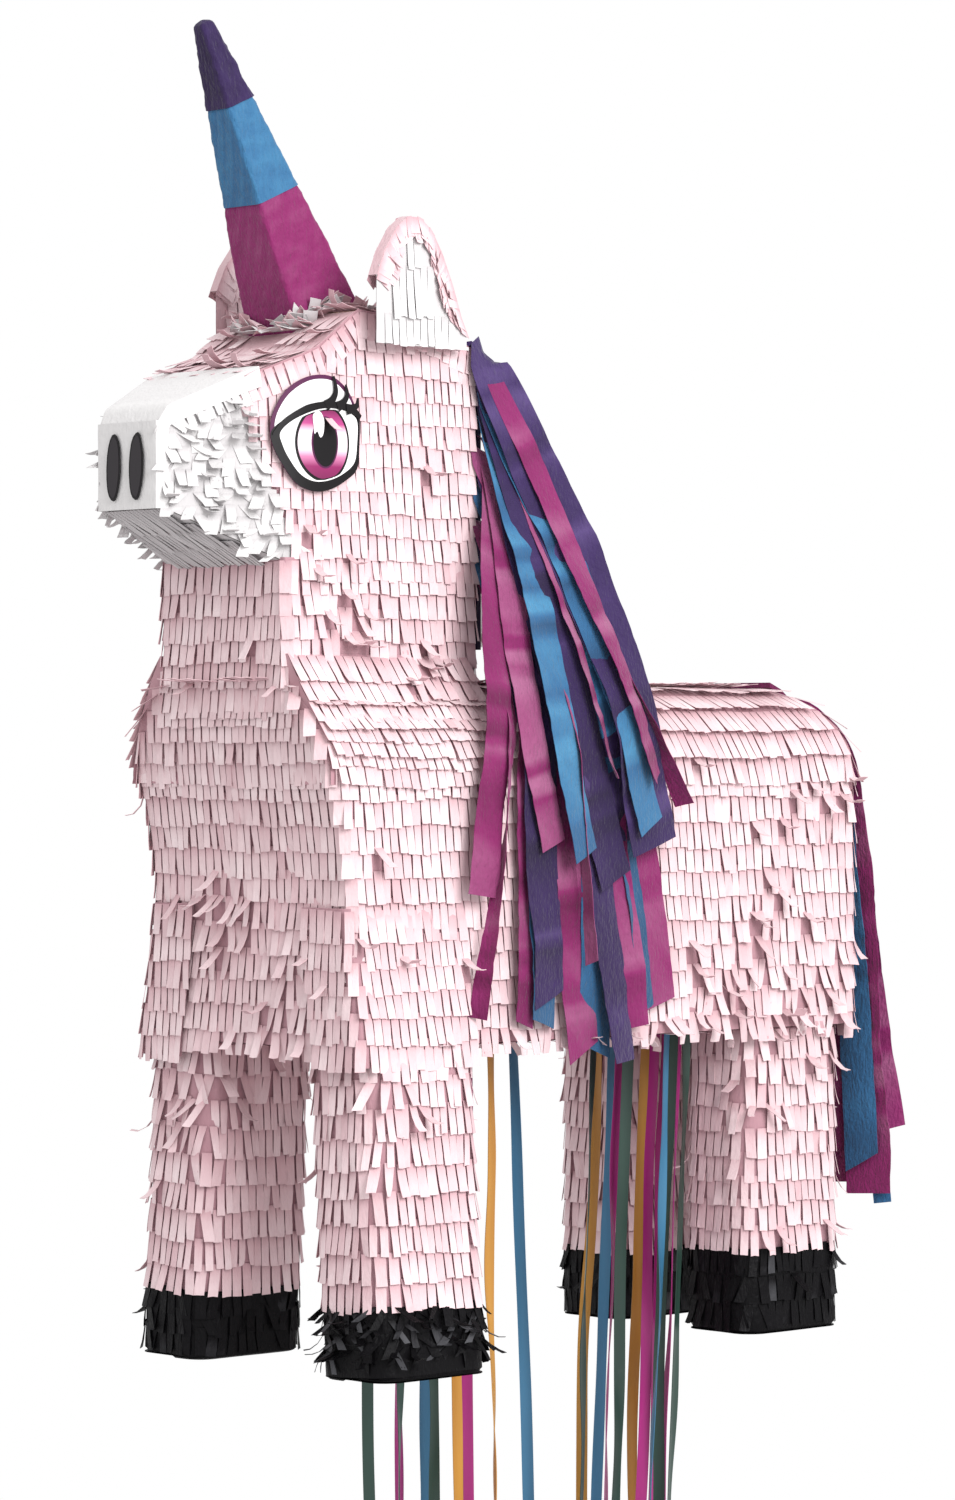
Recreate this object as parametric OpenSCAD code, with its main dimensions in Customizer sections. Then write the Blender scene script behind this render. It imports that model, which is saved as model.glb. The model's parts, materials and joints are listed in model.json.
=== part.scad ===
// Unicorn pull-string pinata: card boxes and tubes, covered in rows of crepe fringe.
// Built standing on its hoof soles, X to its left, Y to its tail, Z up, then moved
// so that the row's origin is the centre of the hanging bore.

/* [Board and paper] */
// Thickness of the corrugated board
board_t = 3; // [2:0.5:4]
// Thickness of a layer of crepe fringe
fringe_t = 3; // [2:0.5:4]
// Glue gap between the board and the fringe
glue_gap = 0.2; // [0.1:0.1:0.4]

/* [Torso] */
// Width of the torso box
body_w = 124; // [116:1:132]
// Front face of the chest
chest_y = -127; // [-132:1:-122]
// Rear face of the rump
rump_y = 170; // [160:1:185]
// Underside of the belly
belly_z = 133; // [125:1:140]
// Top of the back
back_z = 281; // [275:1:290]
// Radius along both long edges of the back and over the rump
back_r = 35; // [25:1:40]

/* [Neck and head] */
// Width of the neck and head box
head_w = 78; // [72:1:82]
// Rear face of the neck
nape_y = -38; // [-50:1:-34]
// Front face of the nose
nose_y = -191; // [-200:1:-185]
// Width of the nose
nose_w = 35.4; // [30:0.2:40]
// Place where the cheeks start to taper
taper_y = -134; // [-136:1:-124]

/* [Horn and ears] */
// Width of the horn's square foot, less its blunt tip
horn_w = 27; // [24:1:32]
// Length of the horn
horn_l = 127; // [110:1:140]
// Forward lean of the horn in degrees
horn_lean = 24.5; // [15:0.5:30]
// Length of an ear along its foot
ear_l = 56; // [45:1:60]
// Flare of the ears outwards in degrees
ear_flare = 5; // [0:1:15]

/* [Legs] */
// Width of a leg tube
leg_w = 40; // [34:1:42]
// Depth of a leg tube
leg_d = 58; // [50:1:60]
// Distance of each front leg from the middle, at the belly
front_leg_x = 50; // [46:1:54]
// Outward splay of the front legs in degrees
front_splay = 3.5; // [0:0.5:4]
// Distance of each rear leg from the middle
rear_leg_x = 40; // [36:1:42]
// Height of the front hoof covers
front_hoof_h = 28; // [20:1:34]
// Height of the rear hoof covers
rear_hoof_h = 36; // [24:1:40]

/* [Trapdoor and flap] */
// Width of the trapdoor
door_w = 64; // [50:1:70]
// Length of the trapdoor
door_l = 58; // [50:1:60]
// Width of the filling flap
flap_w = 46; // [36:1:48]
// Length of the filling flap
flap_l = 50; // [40:1:55]

/* [Hanging] */
// Radius of the hanging bore in the tab
eye_r = 6; // [4:0.5:7]
// Height of the hanging bore above the back
eye_rise = 45; // [40:1:55]
// Place of the hanger along the body, over the centre of mass
hang_y = -2; // [-8:1:4]

/* [Pull ribbons] */
// Width of a ribbon
ribbon_w = 5; // [4:0.5:6]
// Thickness of a ribbon's solid
ribbon_t = 0.8; // [0.5:0.1:1]
// Length of the release ribbon
release_l = 450; // [380:10:500]

/* [Hidden] */
$fn = 48;

pink = [0.96, 0.78, 0.80];
white = [0.95, 0.94, 0.93];
card = [0.72, 0.58, 0.42];
purple = [0.30, 0.16, 0.50];
blue = [0.12, 0.50, 0.72];
magenta = [0.72, 0.08, 0.48];
gold = [0.85, 0.60, 0.15];
green = [0.10, 0.32, 0.22];
black = [0.05, 0.05, 0.06];

big = 900;
skin_in = glue_gap;
skin_out = glue_gap + fringe_t;
body_x = body_w / 2;
head_x = head_w / 2;
arch_z = back_z - back_r;
wall_top = arch_z;
neck_foot = arch_z;
head_split_z = 335;
muzzle_y = -160;
skin_top = back_z + skin_out;

// Hanging tab and cord
eye_z = back_z + eye_rise;
loop_z = eye_z - 21;
cord_r = 1.5;
cord_hole_r = 1.7;
cord_half = 9;
bar_r = 4;
bar_l = 54;
bar_z = back_z - board_t - bar_r - 0.1;
tab_t = 3;
loop_hole_r = 3;
loop_slack = 1.3;

// Openings
door_y0 = -10;
door_y1 = door_y0 + door_l;
fit_gap = 0.3;
flap_y0 = 40;
flap_y1 = flap_y0 + flap_l;
release_x = 20;
release_y = 2;
knot_r = 3;

function arc(c, r, a0, a1, n) =
    [for (i = [0:n]) c + r * [cos(a0 + (a1 - a0) * i / n), sin(a0 + (a1 - a0) * i / n)]];
function unit(v) = v / norm(v);
function out_normal(a, b) = unit([b[1] - a[1], a[0] - b[0]]);
// Moves every edge of a counter-clockwise outline inwards by d
function inset(p, d) = [
    for (i = [0:len(p) - 1])
        let (
            a = p[(i + len(p) - 1) % len(p)],
            b = p[i],
            c = p[(i + 1) % len(p)],
            n1 = out_normal(a, b),
            n2 = out_normal(b, c)
        )
        b - d * (n1 + n2) / (1 + n1 * n2)
];
function lerp(a, b, t) = a + (b - a) * t;

// Side outline of the torso as [y, z]
torso_side = concat(
    [[chest_y, belly_z], [rump_y, belly_z]],
    arc([rump_y - back_r, arch_z], back_r, 0, 90, 6),
    [[chest_y - 12, back_z], [chest_y, belly_z + 92]]
);
// Front outline of the torso as [x, z]
torso_front = concat(
    [[-body_x, belly_z], [body_x, belly_z]],
    arc([body_x - back_r, arch_z], back_r, 0, 90, 6),
    arc([back_r - body_x, arch_z], back_r, 90, 180, 6)
);
// Side outline of the neck and head as [y, z]
head_side = [
    [chest_y - 3.2, neck_foot - 6], [nape_y, neck_foot - 6], [nape_y, 421], [-75, 432],
    [-104, 434], [-125, 418], [muzzle_y, 403.5], [-187, 391], [nose_y, 384], [nose_y, 352],
    [-142, 331], [chest_y - 12, back_z]
];
// Plan outline of the neck and head as [x, y]
head_plan = [
    [-nose_w / 2, nose_y], [nose_w / 2, nose_y], [head_x, taper_y], [head_x, nape_y],
    [-head_x, nape_y], [-head_x, taper_y]
];
head_in = inset(head_side, board_t);
taper_angle = atan((head_x - nose_w / 2) / (taper_y - nose_y));
cheek_in = inset(head_plan, board_t);
nose_in = nose_w / 2 - board_t / cos(taper_angle);
// Plan of the space between the cheeks
core_plan = [
    [-nose_in, nose_y], [nose_in, nose_y], cheek_in[2], [head_x - board_t, nape_y],
    [board_t - head_x, nape_y], [-cheek_in[2][0], cheek_in[2][1]]
];
cheek_plan = [
    [nose_in, nose_y], [nose_w / 2, nose_y], [head_x, taper_y], [head_x, nape_y],
    [head_x - board_t, nape_y], cheek_in[2]
];

// [x, y, splay, hoof height] of each leg
LEGS = [
    [front_leg_x, -95, front_splay, front_hoof_h],
    [-front_leg_x, -95, -front_splay, front_hoof_h],
    [rear_leg_x, 135, 0, rear_hoof_h],
    [-rear_leg_x, 135, 0, rear_hoof_h - 6]
];
leg_r = 10;
leg_wall = 2.5;

// Pull ribbons: [x, y, length, turn]
BLUE_RIBBONS = [[-12, -22, 430, 20], [-2, 84, 440, 60], [40, 75, 435, 110]];
GOLD_RIBBONS = [[16, -28, 435, 50], [28, -19, 420, 100], [-16, 88, 445, 15], [12, 91, 430, 60]];
MAGENTA_RIBBONS = [
    [-26, -24, 440, 80], [10, -16, 450, 40], [14, 72, 435, 95], [26, 82, 445, 10],
    [18, 97, 425, 75], [30, 93, 450, 120]
];
GREEN_RIBBONS = [
    [-24, -43, 435, 25], [-12, -36, 445, 85], [4, -30, 430, 55], [0, 70, 440, 105],
    [22, 70, 425, 45], [34, 85, 440, 30], [44, 83, 430, 90]
];
ALL_RIBBONS = concat(BLUE_RIBBONS, GOLD_RIBBONS, MAGENTA_RIBBONS, GREEN_RIBBONS);
front_drift = [2, 2, 0];
rear_drift = [-6, -8, 0];
release_drift = [8, 6, 0];
ribbon_rings = 6;
ribbon_turn = 60;

// Moves the standing pinata so that the hanging bore is the origin
module place() {
    translate([0, -hang_y, -eye_z]) children();
}

// Extrudes a [y, z] outline along X, centred
module along_x(w) {
    rotate([90, 0, 90]) linear_extrude(w, center = true) children();
}

// Extrudes an [x, z] outline along Y from y0 to y1
module along_y(y0, y1) {
    translate([0, y1, 0]) rotate([90, 0, 0]) linear_extrude(y1 - y0) children();
}

module block(a, b) {
    translate(a) cube(b - a);
}

module torso_solid(d) {
    intersection() {
        along_x(big) polygon(inset(torso_side, d));
        along_y(-big, big) polygon(inset(torso_front, d));
    }
}

module head_solid(d) {
    intersection() {
        along_x(big) polygon(inset(head_side, d));
        linear_extrude(big) polygon(inset(head_plan, d));
    }
}

module torso_ring() {
    difference() {
        torso_solid(0);
        torso_solid(board_t);
    }
}

module side_panel(side) {
    color(card) place() intersection() {
        torso_ring();
        block(
            [side > 0 ? body_x - board_t : -body_x, -big, belly_z],
            [side > 0 ? body_x : board_t - body_x, big, wall_top]
        );
    }
}

// A wall of the torso between the two side panels, cut out by one block
module cross_panel(y0, y1, z0, z1) {
    intersection() {
        torso_ring();
        block([board_t - body_x, y0, z0], [body_x - board_t, y1, z1]);
    }
}

module belly_panel() {
    color(card) place() difference() {
        cross_panel(-big, big, belly_z, belly_z + board_t);
        block(
            [-door_w / 2 - fit_gap, door_y0 - fit_gap, 0],
            [door_w / 2 + fit_gap, door_y1 + fit_gap, 200]
        );
    }
}

module chest_panel() {
    color(card) place() cross_panel(-big, chest_y + board_t + 1, belly_z + board_t, wall_top);
}

module rump_panel() {
    color(card) place() cross_panel(rump_y - board_t, big, belly_z + board_t, wall_top);
}

module cord_holes(r) {
    for (side = [-1, 1])
        translate([side * cord_half, hang_y, 200]) cylinder(r = r, h = 200);
}

module flap_hole(gap) {
    block(
        [-flap_w / 2 - gap, flap_y0 - gap, 250],
        [flap_w / 2 + gap, flap_y1 + gap, 320]
    );
}

module back_panel() {
    color(card) place() difference() {
        intersection() {
            torso_ring();
            block([-big, nape_y, wall_top], [big, big, big]);
        }
        flap_hole(fit_gap);
        cord_holes(cord_hole_r);
    }
}

module shoulder(side) {
    color(card) place() intersection() {
        torso_ring();
        block(
            [side > 0 ? head_x : -big, -big, wall_top],
            [side > 0 ? big : -head_x, nape_y, big]
        );
    }
}

module cheek(side) {
    color(card) place() mirror([side > 0 ? 0 : 1, 0, 0]) intersection() {
        along_x(big) polygon(head_side);
        translate([0, 0, neck_foot]) linear_extrude(big) polygon(cheek_plan);
    }
}

// A bent strip of the head box between the cheeks, from one corner of its outline to another
module head_strip(first, last) {
    outer = [for (i = [first:last]) head_side[i % len(head_side)]];
    inner = [for (i = [last:-1:first]) head_in[i % len(head_side)]];
    color(card) place() intersection() {
        along_x(head_w) polygon(concat(outer, inner));
        translate([0, 0, neck_foot]) linear_extrude(big) polygon(core_plan);
    }
}

module nape_panel() {
    head_strip(1, 2);
}

module forehead_panel() {
    head_strip(2, 8);
}

module nose_panel() {
    head_strip(8, 9);
}

module jaw_panel() {
    head_strip(9, 10);
}

module neck_front_panel() {
    head_strip(10, 12);
}

// Horn: frames its children at the horn's foot, with Z along the horn
module at_horn() {
    place() translate([0, -101, 436]) rotate([horn_lean, 0, 0]) children();
}

// Square frustum between two heights of a pyramid that ends in a blunt tip
horn_foot = -18;
horn_tip = 4;
collar_h = 6;
function horn_side(z) = horn_w * (1 - z / horn_l) + horn_tip;
module frustum(z0, z1, grow) {
    s0 = horn_side(z0) + 2 * grow;
    s1 = horn_side(z1) + 2 * grow;
    translate([0, 0, z0])
        linear_extrude(z1 - z0, scale = s1 / s0) square(s0, center = true);
}

// Cuts the foot of a horn piece to the forehead, which is grown by d
module on_forehead(d) {
    difference() {
        at_horn() children();
        place() head_solid(-d);
    }
}

module horn_core() {
    color(card) on_forehead(0.1) difference() {
        frustum(horn_foot, horn_l - 3, 0);
        frustum(horn_foot - 1, horn_l - 6, -1.5);
    }
}

module horn_wrap(z0, z1, tint) {
    color(tint) on_forehead(0.1) difference() {
        frustum(z0, z1, 1.2);
        frustum(z0 - 1, z1 + 1, 0.15);
    }
}

module horn_collar() {
    color(white) intersection() {
        on_forehead(skin_out + 0.1) difference() {
            frustum(horn_foot, 30, 5.5);
            frustum(horn_foot - 1, 31, 1.4);
        }
        place() head_solid(-skin_out - collar_h);
    }
}

// Leaf outline of an ear as [y, z], foot centred at the origin
ear_half = ear_l / 2;
ear_outline = [
    [-ear_half - 12, -4], [ear_half - 12, -4], [ear_half - 14, 3], [ear_half - 18, 10], [5, 22],
    [-1, 34], [-7, 43], [-14, 48], [-21, 48], [-28, 43], [-35, 33], [-ear_half - 12, 21]
];
module ear(side) {
    color(pink) place() mirror([side > 0 ? 0 : 1, 0, 0])
        translate([head_x + 3.6, nape_y, 424]) rotate([0, 0, ear_flare])
            translate([2, -ear_half, 0]) along_x(4) polygon(ear_outline);
}

eye_outline = [for (a = [0:15:345]) [-127.5 + 21.6 * cos(a), 382.7 + 24.3 * sin(a)]];
module eye(side) {
    color("white") place() intersection() {
        difference() {
            head_solid(-skin_out - 0.9);
            head_solid(-skin_out - 0.2);
        }
        translate([side > 0 ? 0 : -big, 0, 0])
            rotate([90, 0, 90]) linear_extrude(big) polygon(eye_outline);
    }
}

module nostrils() {
    color(black) place() for (side = [-1, 1])
        along_y_slab(side * 7, 0.7);
}

// One nostril: a slim slot shape laid on the nose
module along_y_slab(x, t) {
    nostril_r = 4.5;
    nostril_h = 27;
    front = nose_y - skin_out - 0.1;
    translate([x, front, 368]) rotate([90, 0, 0]) linear_extrude(t) union() {
        for (side = [-1, 1])
            translate([0, side * (nostril_h / 2 - nostril_r)]) circle(nostril_r);
        square([2 * nostril_r, nostril_h - 2 * nostril_r], center = true);
    }
}

// Rounded rectangle with true arcs
module rounded(w, d, r) {
    for (sx = [-1, 1])
        for (sy = [-1, 1])
            translate([sx * (w / 2 - r), sy * (d / 2 - r)]) circle(r);
    square([w, d - 2 * r], center = true);
    square([w - 2 * r, d], center = true);
}

// Frames its children at a leg's top centre, with Z along the leg, cut off square at z0 and z1
module at_leg(i, z0, z1) {
    leg = LEGS[i];
    place() intersection() {
        translate([leg[0], leg[1], belly_z]) rotate([0, -leg[2], 0]) children();
        block([-big, -big, z0], [big, big, z1]);
    }
}

module leg_bar(grow) {
    translate([0, 0, -belly_z - 20])
        linear_extrude(belly_z + 40) rounded(leg_w + 2 * grow, leg_d + 2 * grow, leg_r + grow);
}

module leg_tube(i) {
    color(card) at_leg(i, 3, belly_z) difference() {
        leg_bar(0);
        leg_bar(-leg_wall);
    }
}

module leg_end_discs() {
    color(card) for (i = [0:3])
        at_leg(i, 0, 3) leg_bar(0);
}

module leg_skin() {
    difference() {
        leg_bar(skin_out);
        leg_bar(skin_in);
    }
}

module hoof_covers() {
    color(black) for (i = [0:3])
        at_leg(i, 0, LEGS[i][3]) leg_skin();
}

module fringe_legs() {
    color(pink) for (i = [0:3])
        at_leg(i, LEGS[i][3] + fit_gap, belly_z - fit_gap) leg_skin();
}

module fringe_body() {
    color(pink) place() difference() {
        torso_solid(-skin_out);
        torso_solid(-skin_in);
        block([-big, -big, 0], [big, big, belly_z]);
        along_x(head_w + skin_in) polygon(inset(head_side, -skin_in / 2));
        flap_hole(fit_gap);
        cord_holes(cord_hole_r);
    }
}

// Part of the fringe over the head box, between two heights and two depths
module head_skin(y0, y1, z0, z1) {
    place() intersection() {
        difference() {
            head_solid(-skin_out);
            head_solid(-skin_in);
        }
        block([-big, y0, z0], [big, y1, z1]);
    }
}

module fringe_neck() {
    color(pink) head_skin(muzzle_y, big, skin_top + fit_gap, head_split_z);
}

module fringe_head() {
    color(pink) difference() {
        head_skin(muzzle_y, big, head_split_z, 460);
        at_horn() frustum(horn_foot, 30, 1.6);
    }
}

module fringe_muzzle() {
    color(white) head_skin(-big, muzzle_y, head_split_z, 460);
}

module trapdoor() {
    color(card) place() difference() {
        block(
            [-door_w / 2, door_y0, belly_z],
            [door_w / 2, door_y1, belly_z + board_t]
        );
        translate([release_x, release_y, belly_z - 1]) cylinder(r = 1.5, h = board_t + 2);
    }
}

module release_knot() {
    color(blue) place()
        translate([release_x, release_y, belly_z + board_t + 2]) cylinder(r = knot_r, h = 4, center = true);
}

tape_w = 7;
tape_t = 0.4;
module door_tape(y0, y1) {
    color([0.85, 0.82, 0.72]) place() block(
        [-door_w / 2 + 4, y0, belly_z - tape_t],
        [door_w / 2 - 4, y1, belly_z]
    );
}

module trapdoor_tape_fixed() {
    door_tape(door_y1 + fit_gap + 0.3, door_y1 + tape_w);
}

module trapdoor_tape_moving() {
    door_tape(door_y1 - tape_w, door_y1);
}

module fill_flap() {
    color(card) place() block(
        [-flap_w / 2, flap_y0, back_z - board_t],
        [flap_w / 2, flap_y1, back_z]
    );
}

module fringe_flap() {
    color(pink) place() block(
        [-flap_w / 2, flap_y0, back_z],
        [flap_w / 2, flap_y1, skin_top]
    );
}

module flap_tape() {
    color([0.85, 0.82, 0.72]) place() block(
        [-flap_w / 2 + 3, flap_y1 - tape_w, back_z - board_t - tape_t],
        [flap_w / 2 - 3, flap_y1, back_z - board_t]
    );
}

module hanger_bar() {
    color([0.82, 0.70, 0.50]) place() difference() {
        translate([-bar_l / 2, hang_y, bar_z]) rotate([0, 90, 0]) cylinder(r = bar_r, h = bar_l);
        cord_holes(cord_hole_r);
    }
}

module hanger_cord() {
    leg_top = loop_z - loop_slack - cord_half;
    knot_z = bar_z - bar_r - 3.4;
    color(white) place() {
        translate([0, hang_y, leg_top]) rotate([90, 0, 0])
            rotate_extrude(angle = 180) translate([cord_half, 0]) circle(cord_r);
        for (side = [-1, 1])
            translate([side * cord_half, hang_y, knot_z]) {
                cylinder(r = cord_r, h = leg_top - knot_z);
                sphere(r = 3.2);
            }
    }
}

// Flat tab with the hanging bore above and the cord's hole below
module hang_tab() {
    color([0.9, 0.9, 0.88]) place() translate([0, hang_y, 0]) along_x(tab_t) difference() {
        union() {
            translate([0, eye_z]) circle(eye_r + 5);
            translate([0, loop_z]) circle(loop_hole_r + 4.5);
            polygon([
                [-eye_r - 4, eye_z - 4], [-loop_hole_r - 4, loop_z],
                [loop_hole_r + 4, loop_z], [eye_r + 4, eye_z - 4]
            ]);
        }
        translate([0, eye_z]) circle(eye_r);
        translate([0, loop_z]) circle(loop_hole_r);
    }
}

// Mane: a curtain from the nape over the left shoulder and down the side.
// u runs from its top edge (0) to its lowest root (1); each row goes root, shoulder, hem.
mane_t = 3;
mane_root_x = 38;
mane_side_x = body_x + skin_out + 1.6;
function mane_row(u) = [
    [mane_root_x, nape_y + skin_out + 2.6, lerp(418, 300, u)],
    [lerp(52, 50, u), lerp(6, nape_y + skin_out + 5, u), lerp(350, 287, u)],
    [mane_side_x, lerp(46, -36, u), lerp(272, 258, u)],
    [mane_side_x, lerp(56, -42, u), lerp(200, 190, u)],
    [mane_side_x + 1, lerp(62, -46, u), lerp(150, 138, u)]
];
mane_cuts = 3;
module mane_sheet(u0, u1) {
    rows = [for (i = [0:mane_cuts]) mane_row(lerp(u0, u1, i / mane_cuts))];
    slab(rows, [mane_t, 0, 0]);
}

// Closed slab over a grid of points, thickened by one vector
module slab(rows, thick) {
    n = len(rows[0]);
    m = len(rows);
    front = [for (r = rows) each [for (p = r) p]];
    back = [for (p = front) p + thick];
    k = n * m;
    function id(i, j) = i * n + j;
    faces = concat(
        [for (i = [0:m - 2], j = [0:n - 2]) each [
            [id(i, j), id(i, j + 1), id(i + 1, j + 1)],
            [id(i, j), id(i + 1, j + 1), id(i + 1, j)],
            [k + id(i, j), k + id(i + 1, j + 1), k + id(i, j + 1)],
            [k + id(i, j), k + id(i + 1, j), k + id(i + 1, j + 1)]
        ]],
        [for (i = [0:m - 2]) each [
            [id(i, 0), id(i + 1, 0), k + id(i + 1, 0)],
            [id(i, 0), k + id(i + 1, 0), k + id(i, 0)],
            [id(i, n - 1), k + id(i + 1, n - 1), id(i + 1, n - 1)],
            [id(i, n - 1), k + id(i, n - 1), k + id(i + 1, n - 1)]
        ]],
        [for (j = [0:n - 2]) each [
            [id(0, j), k + id(0, j + 1), id(0, j + 1)],
            [id(0, j), k + id(0, j), k + id(0, j + 1)],
            [id(m - 1, j), id(m - 1, j + 1), k + id(m - 1, j + 1)],
            [id(m - 1, j), k + id(m - 1, j + 1), k + id(m - 1, j)]
        ]]
    );
    polyhedron(concat(front, back), faces);
}

module mane_band() {
    color(purple) place() block(
        [10, nape_y + skin_out + 0.2, 296],
        [37, nape_y + skin_out + 2.2, 420]
    );
}

module mane_purple() {
    color(purple) place() mane_sheet(0, 0.36);
}

module mane_blue() {
    color(blue) place() mane_sheet(0.38, 0.66);
}

module mane_magenta() {
    color(magenta) place() mane_sheet(0.68, 1);
}

// Tail: u runs from its right edge (0) to its left edge (1)
tail_t = 3;
function tail_row(u) = [
    [lerp(-14, 34, u), rump_y - 0.5, lerp(277, 270, u)],
    [lerp(-12, 48, u), rump_y + 8, lerp(264, 252, u)],
    [lerp(-6, 60, u), rump_y + 13, 180],
    [lerp(0, 63, u), rump_y + 22, 110],
    [lerp(6, 64, u), rump_y + 26, 54]
];
module tail_sheet(u0, u1) {
    rows = [for (i = [0:2]) tail_row(lerp(u0, u1, i / 2))];
    slab(rows, [0, tail_t, 0]);
}

module tail_band() {
    color(magenta) place() intersection() {
        difference() {
            torso_solid(-skin_out - 2.2);
            torso_solid(-skin_out - 0.2);
        }
        block([-14, 148, 262], [32, rump_y - 5, 300]);
    }
}

module tail_magenta() {
    color(magenta) place() tail_sheet(0.52, 1);
}

module tail_blue() {
    color(blue) place() tail_sheet(0, 0.5);
}

// Hanging ribbon: a flat strip that drifts sideways and turns a little as it falls
module ribbon(r, drift, top_z) {
    n = ribbon_rings;
    step = r[2] / (n - 1);
    rings = [
        for (i = [0:n - 1])
            let (
                t = i / (n - 1),
                a = r[3] + ribbon_turn * t,
                c = [r[0], r[1], top_z - step * i] + drift * sin(90 * t),
                w = [cos(a), sin(a), 0] * ribbon_w / 2,
                d = [-sin(a), cos(a), 0] * ribbon_t / 2
            )
            each [c - w - d, c + w - d, c + w + d, c - w + d]
    ];
    sides = [
        for (i = [0:n - 2], j = [0:3])
            let (k = (j + 1) % 4)
            each [
                [4 * i + j, 4 * i + k, 4 * i + 4 + k],
                [4 * i + j, 4 * i + 4 + k, 4 * i + 4 + j]
            ]
    ];
    last = 4 * (n - 1);
    ends = [[0, 3, 2], [0, 2, 1], [last, last + 1, last + 2], [last, last + 2, last + 3]];
    polyhedron(rings, concat(sides, ends));
}

module ribbon_group(list, tint) {
    color(tint) place() for (r = list)
        ribbon(r, r[1] < 0 ? front_drift : rear_drift, belly_z);
}

module release_ribbon() {
    color(blue) place()
        ribbon([release_x, release_y, release_l, 0], release_drift, belly_z - 2 * fit_gap);
}

module ribbon_knots() {
    color(white) place() for (r = ALL_RIBBONS)
        translate([r[0], r[1], belly_z + board_t]) cylinder(r = knot_r, h = 3.5);
}

side_panel(1);  // side_panel_left
side_panel(-1);  // side_panel_right
belly_panel();
chest_panel();
rump_panel();
back_panel();
shoulder(1);  // shoulder_left
shoulder(-1);  // shoulder_right
cheek(1);  // cheek_left
cheek(-1);  // cheek_right
neck_front_panel();
jaw_panel();
nose_panel();
forehead_panel();
nape_panel();
horn_core();
horn_wrap(92, horn_l - 1, purple);  // horn_wrap_purple
horn_wrap(51.5, 91.8, blue);  // horn_wrap_blue
horn_wrap(horn_foot, 51.3, magenta);  // horn_wrap_magenta
horn_collar();
ear(1);  // ear_left
ear(-1);  // ear_right
eye(1);  // eye_left
eye(-1);  // eye_right
nostrils();
leg_tube(0);  // leg_tube_front_left
leg_tube(1);  // leg_tube_front_right
leg_tube(2);  // leg_tube_rear_left
leg_tube(3);  // leg_tube_rear_right
leg_end_discs();
hoof_covers();
fringe_body();
fringe_neck();
fringe_head();
fringe_muzzle();
fringe_legs();
trapdoor();
release_knot();
trapdoor_tape_fixed();
trapdoor_tape_moving();
fill_flap();
fringe_flap();
flap_tape();
hanger_bar();
hanger_cord();
hang_tab();
mane_band();
mane_purple();
mane_blue();
mane_magenta();
tail_band();
tail_magenta();
tail_blue();
ribbon_knots();
ribbon_group(BLUE_RIBBONS, blue);  // ribbons_blue
ribbon_group(GOLD_RIBBONS, gold);  // ribbons_gold
ribbon_group(MAGENTA_RIBBONS, magenta);  // ribbons_magenta
ribbon_group(GREEN_RIBBONS, green);  // ribbons_green
release_ribbon();
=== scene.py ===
"""Unicorn pull-string pinata: crepe fringe, streamers, horn, eyes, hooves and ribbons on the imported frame.

Shapes are worked out in the standing frame, in millimetres: X to the animal's left, Y to its tail,
Z up from its hoof soles. row() turns them into the row frame, in metres.
"""
import json
import math

import bmesh
import bpy
import numpy as np
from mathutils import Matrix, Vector


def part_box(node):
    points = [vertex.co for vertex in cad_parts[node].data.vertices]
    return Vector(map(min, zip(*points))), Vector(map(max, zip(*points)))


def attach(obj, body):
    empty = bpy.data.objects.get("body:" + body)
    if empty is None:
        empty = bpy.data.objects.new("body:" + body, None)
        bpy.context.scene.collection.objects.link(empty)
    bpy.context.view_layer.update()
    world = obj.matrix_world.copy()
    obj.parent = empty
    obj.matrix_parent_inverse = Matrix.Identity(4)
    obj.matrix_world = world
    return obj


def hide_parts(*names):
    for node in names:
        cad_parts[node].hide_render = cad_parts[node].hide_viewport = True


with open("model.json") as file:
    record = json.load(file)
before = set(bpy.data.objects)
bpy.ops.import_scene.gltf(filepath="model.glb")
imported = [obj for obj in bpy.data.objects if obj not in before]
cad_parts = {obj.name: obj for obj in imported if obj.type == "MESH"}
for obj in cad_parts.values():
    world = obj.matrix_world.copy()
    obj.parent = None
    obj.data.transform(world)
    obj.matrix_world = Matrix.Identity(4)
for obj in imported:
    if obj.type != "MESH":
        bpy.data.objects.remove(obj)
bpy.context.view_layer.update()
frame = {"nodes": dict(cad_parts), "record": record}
nodes = frame["nodes"]
rng = np.random.default_rng(11)

# ---- frame and sizes
MM = 0.001
BODY_X, CHEST_Y, RUMP_Y = 62.0, -127.0, 170.0
BELLY_Z, BACK_Z, BACK_R = 133.0, 281.0, 35.0
HEAD_X, NAPE_Y, NOSE_Y, NOSE_X = 39.0, -38.0, -191.0, 17.7
TAPER_Y = -134.0
EYE_Y, EYE_CZ, EYE_RY, EYE_RZ = -127.5, 382.7, 21.2, 24.0
ARCH_Z = BACK_Z - BACK_R
HEAD_SIDE = np.array([
    (-130, 240), (NAPE_Y, 240), (NAPE_Y, 421), (-75, 432), (-104, 434), (-125, 418),
    (-160, 403.5), (-187, 391), (-191, 384), (-191, 352), (-142, 331), (-139, 281),
], float)
HANG_Y = RUMP_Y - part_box("rump_panel")[1][1] / MM
HANG_Z = -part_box("hoof_covers")[0][2] / MM
SIDE_NAME = {1: "left", -1: "right"}


def row(p):
    """Standing millimetres to row metres."""
    return (np.asarray(p, float) - (0, HANG_Y, HANG_Z)) * MM


def xyz(*parts):
    """Points from coordinates, which broadcast."""
    return np.stack(np.broadcast_arrays(*parts), -1)


# ---- camera
CAMERA_TURN = math.radians(47)
CAMERA_DISTANCE, CAMERA_HEIGHT = 2147.0, 254.0


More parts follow.
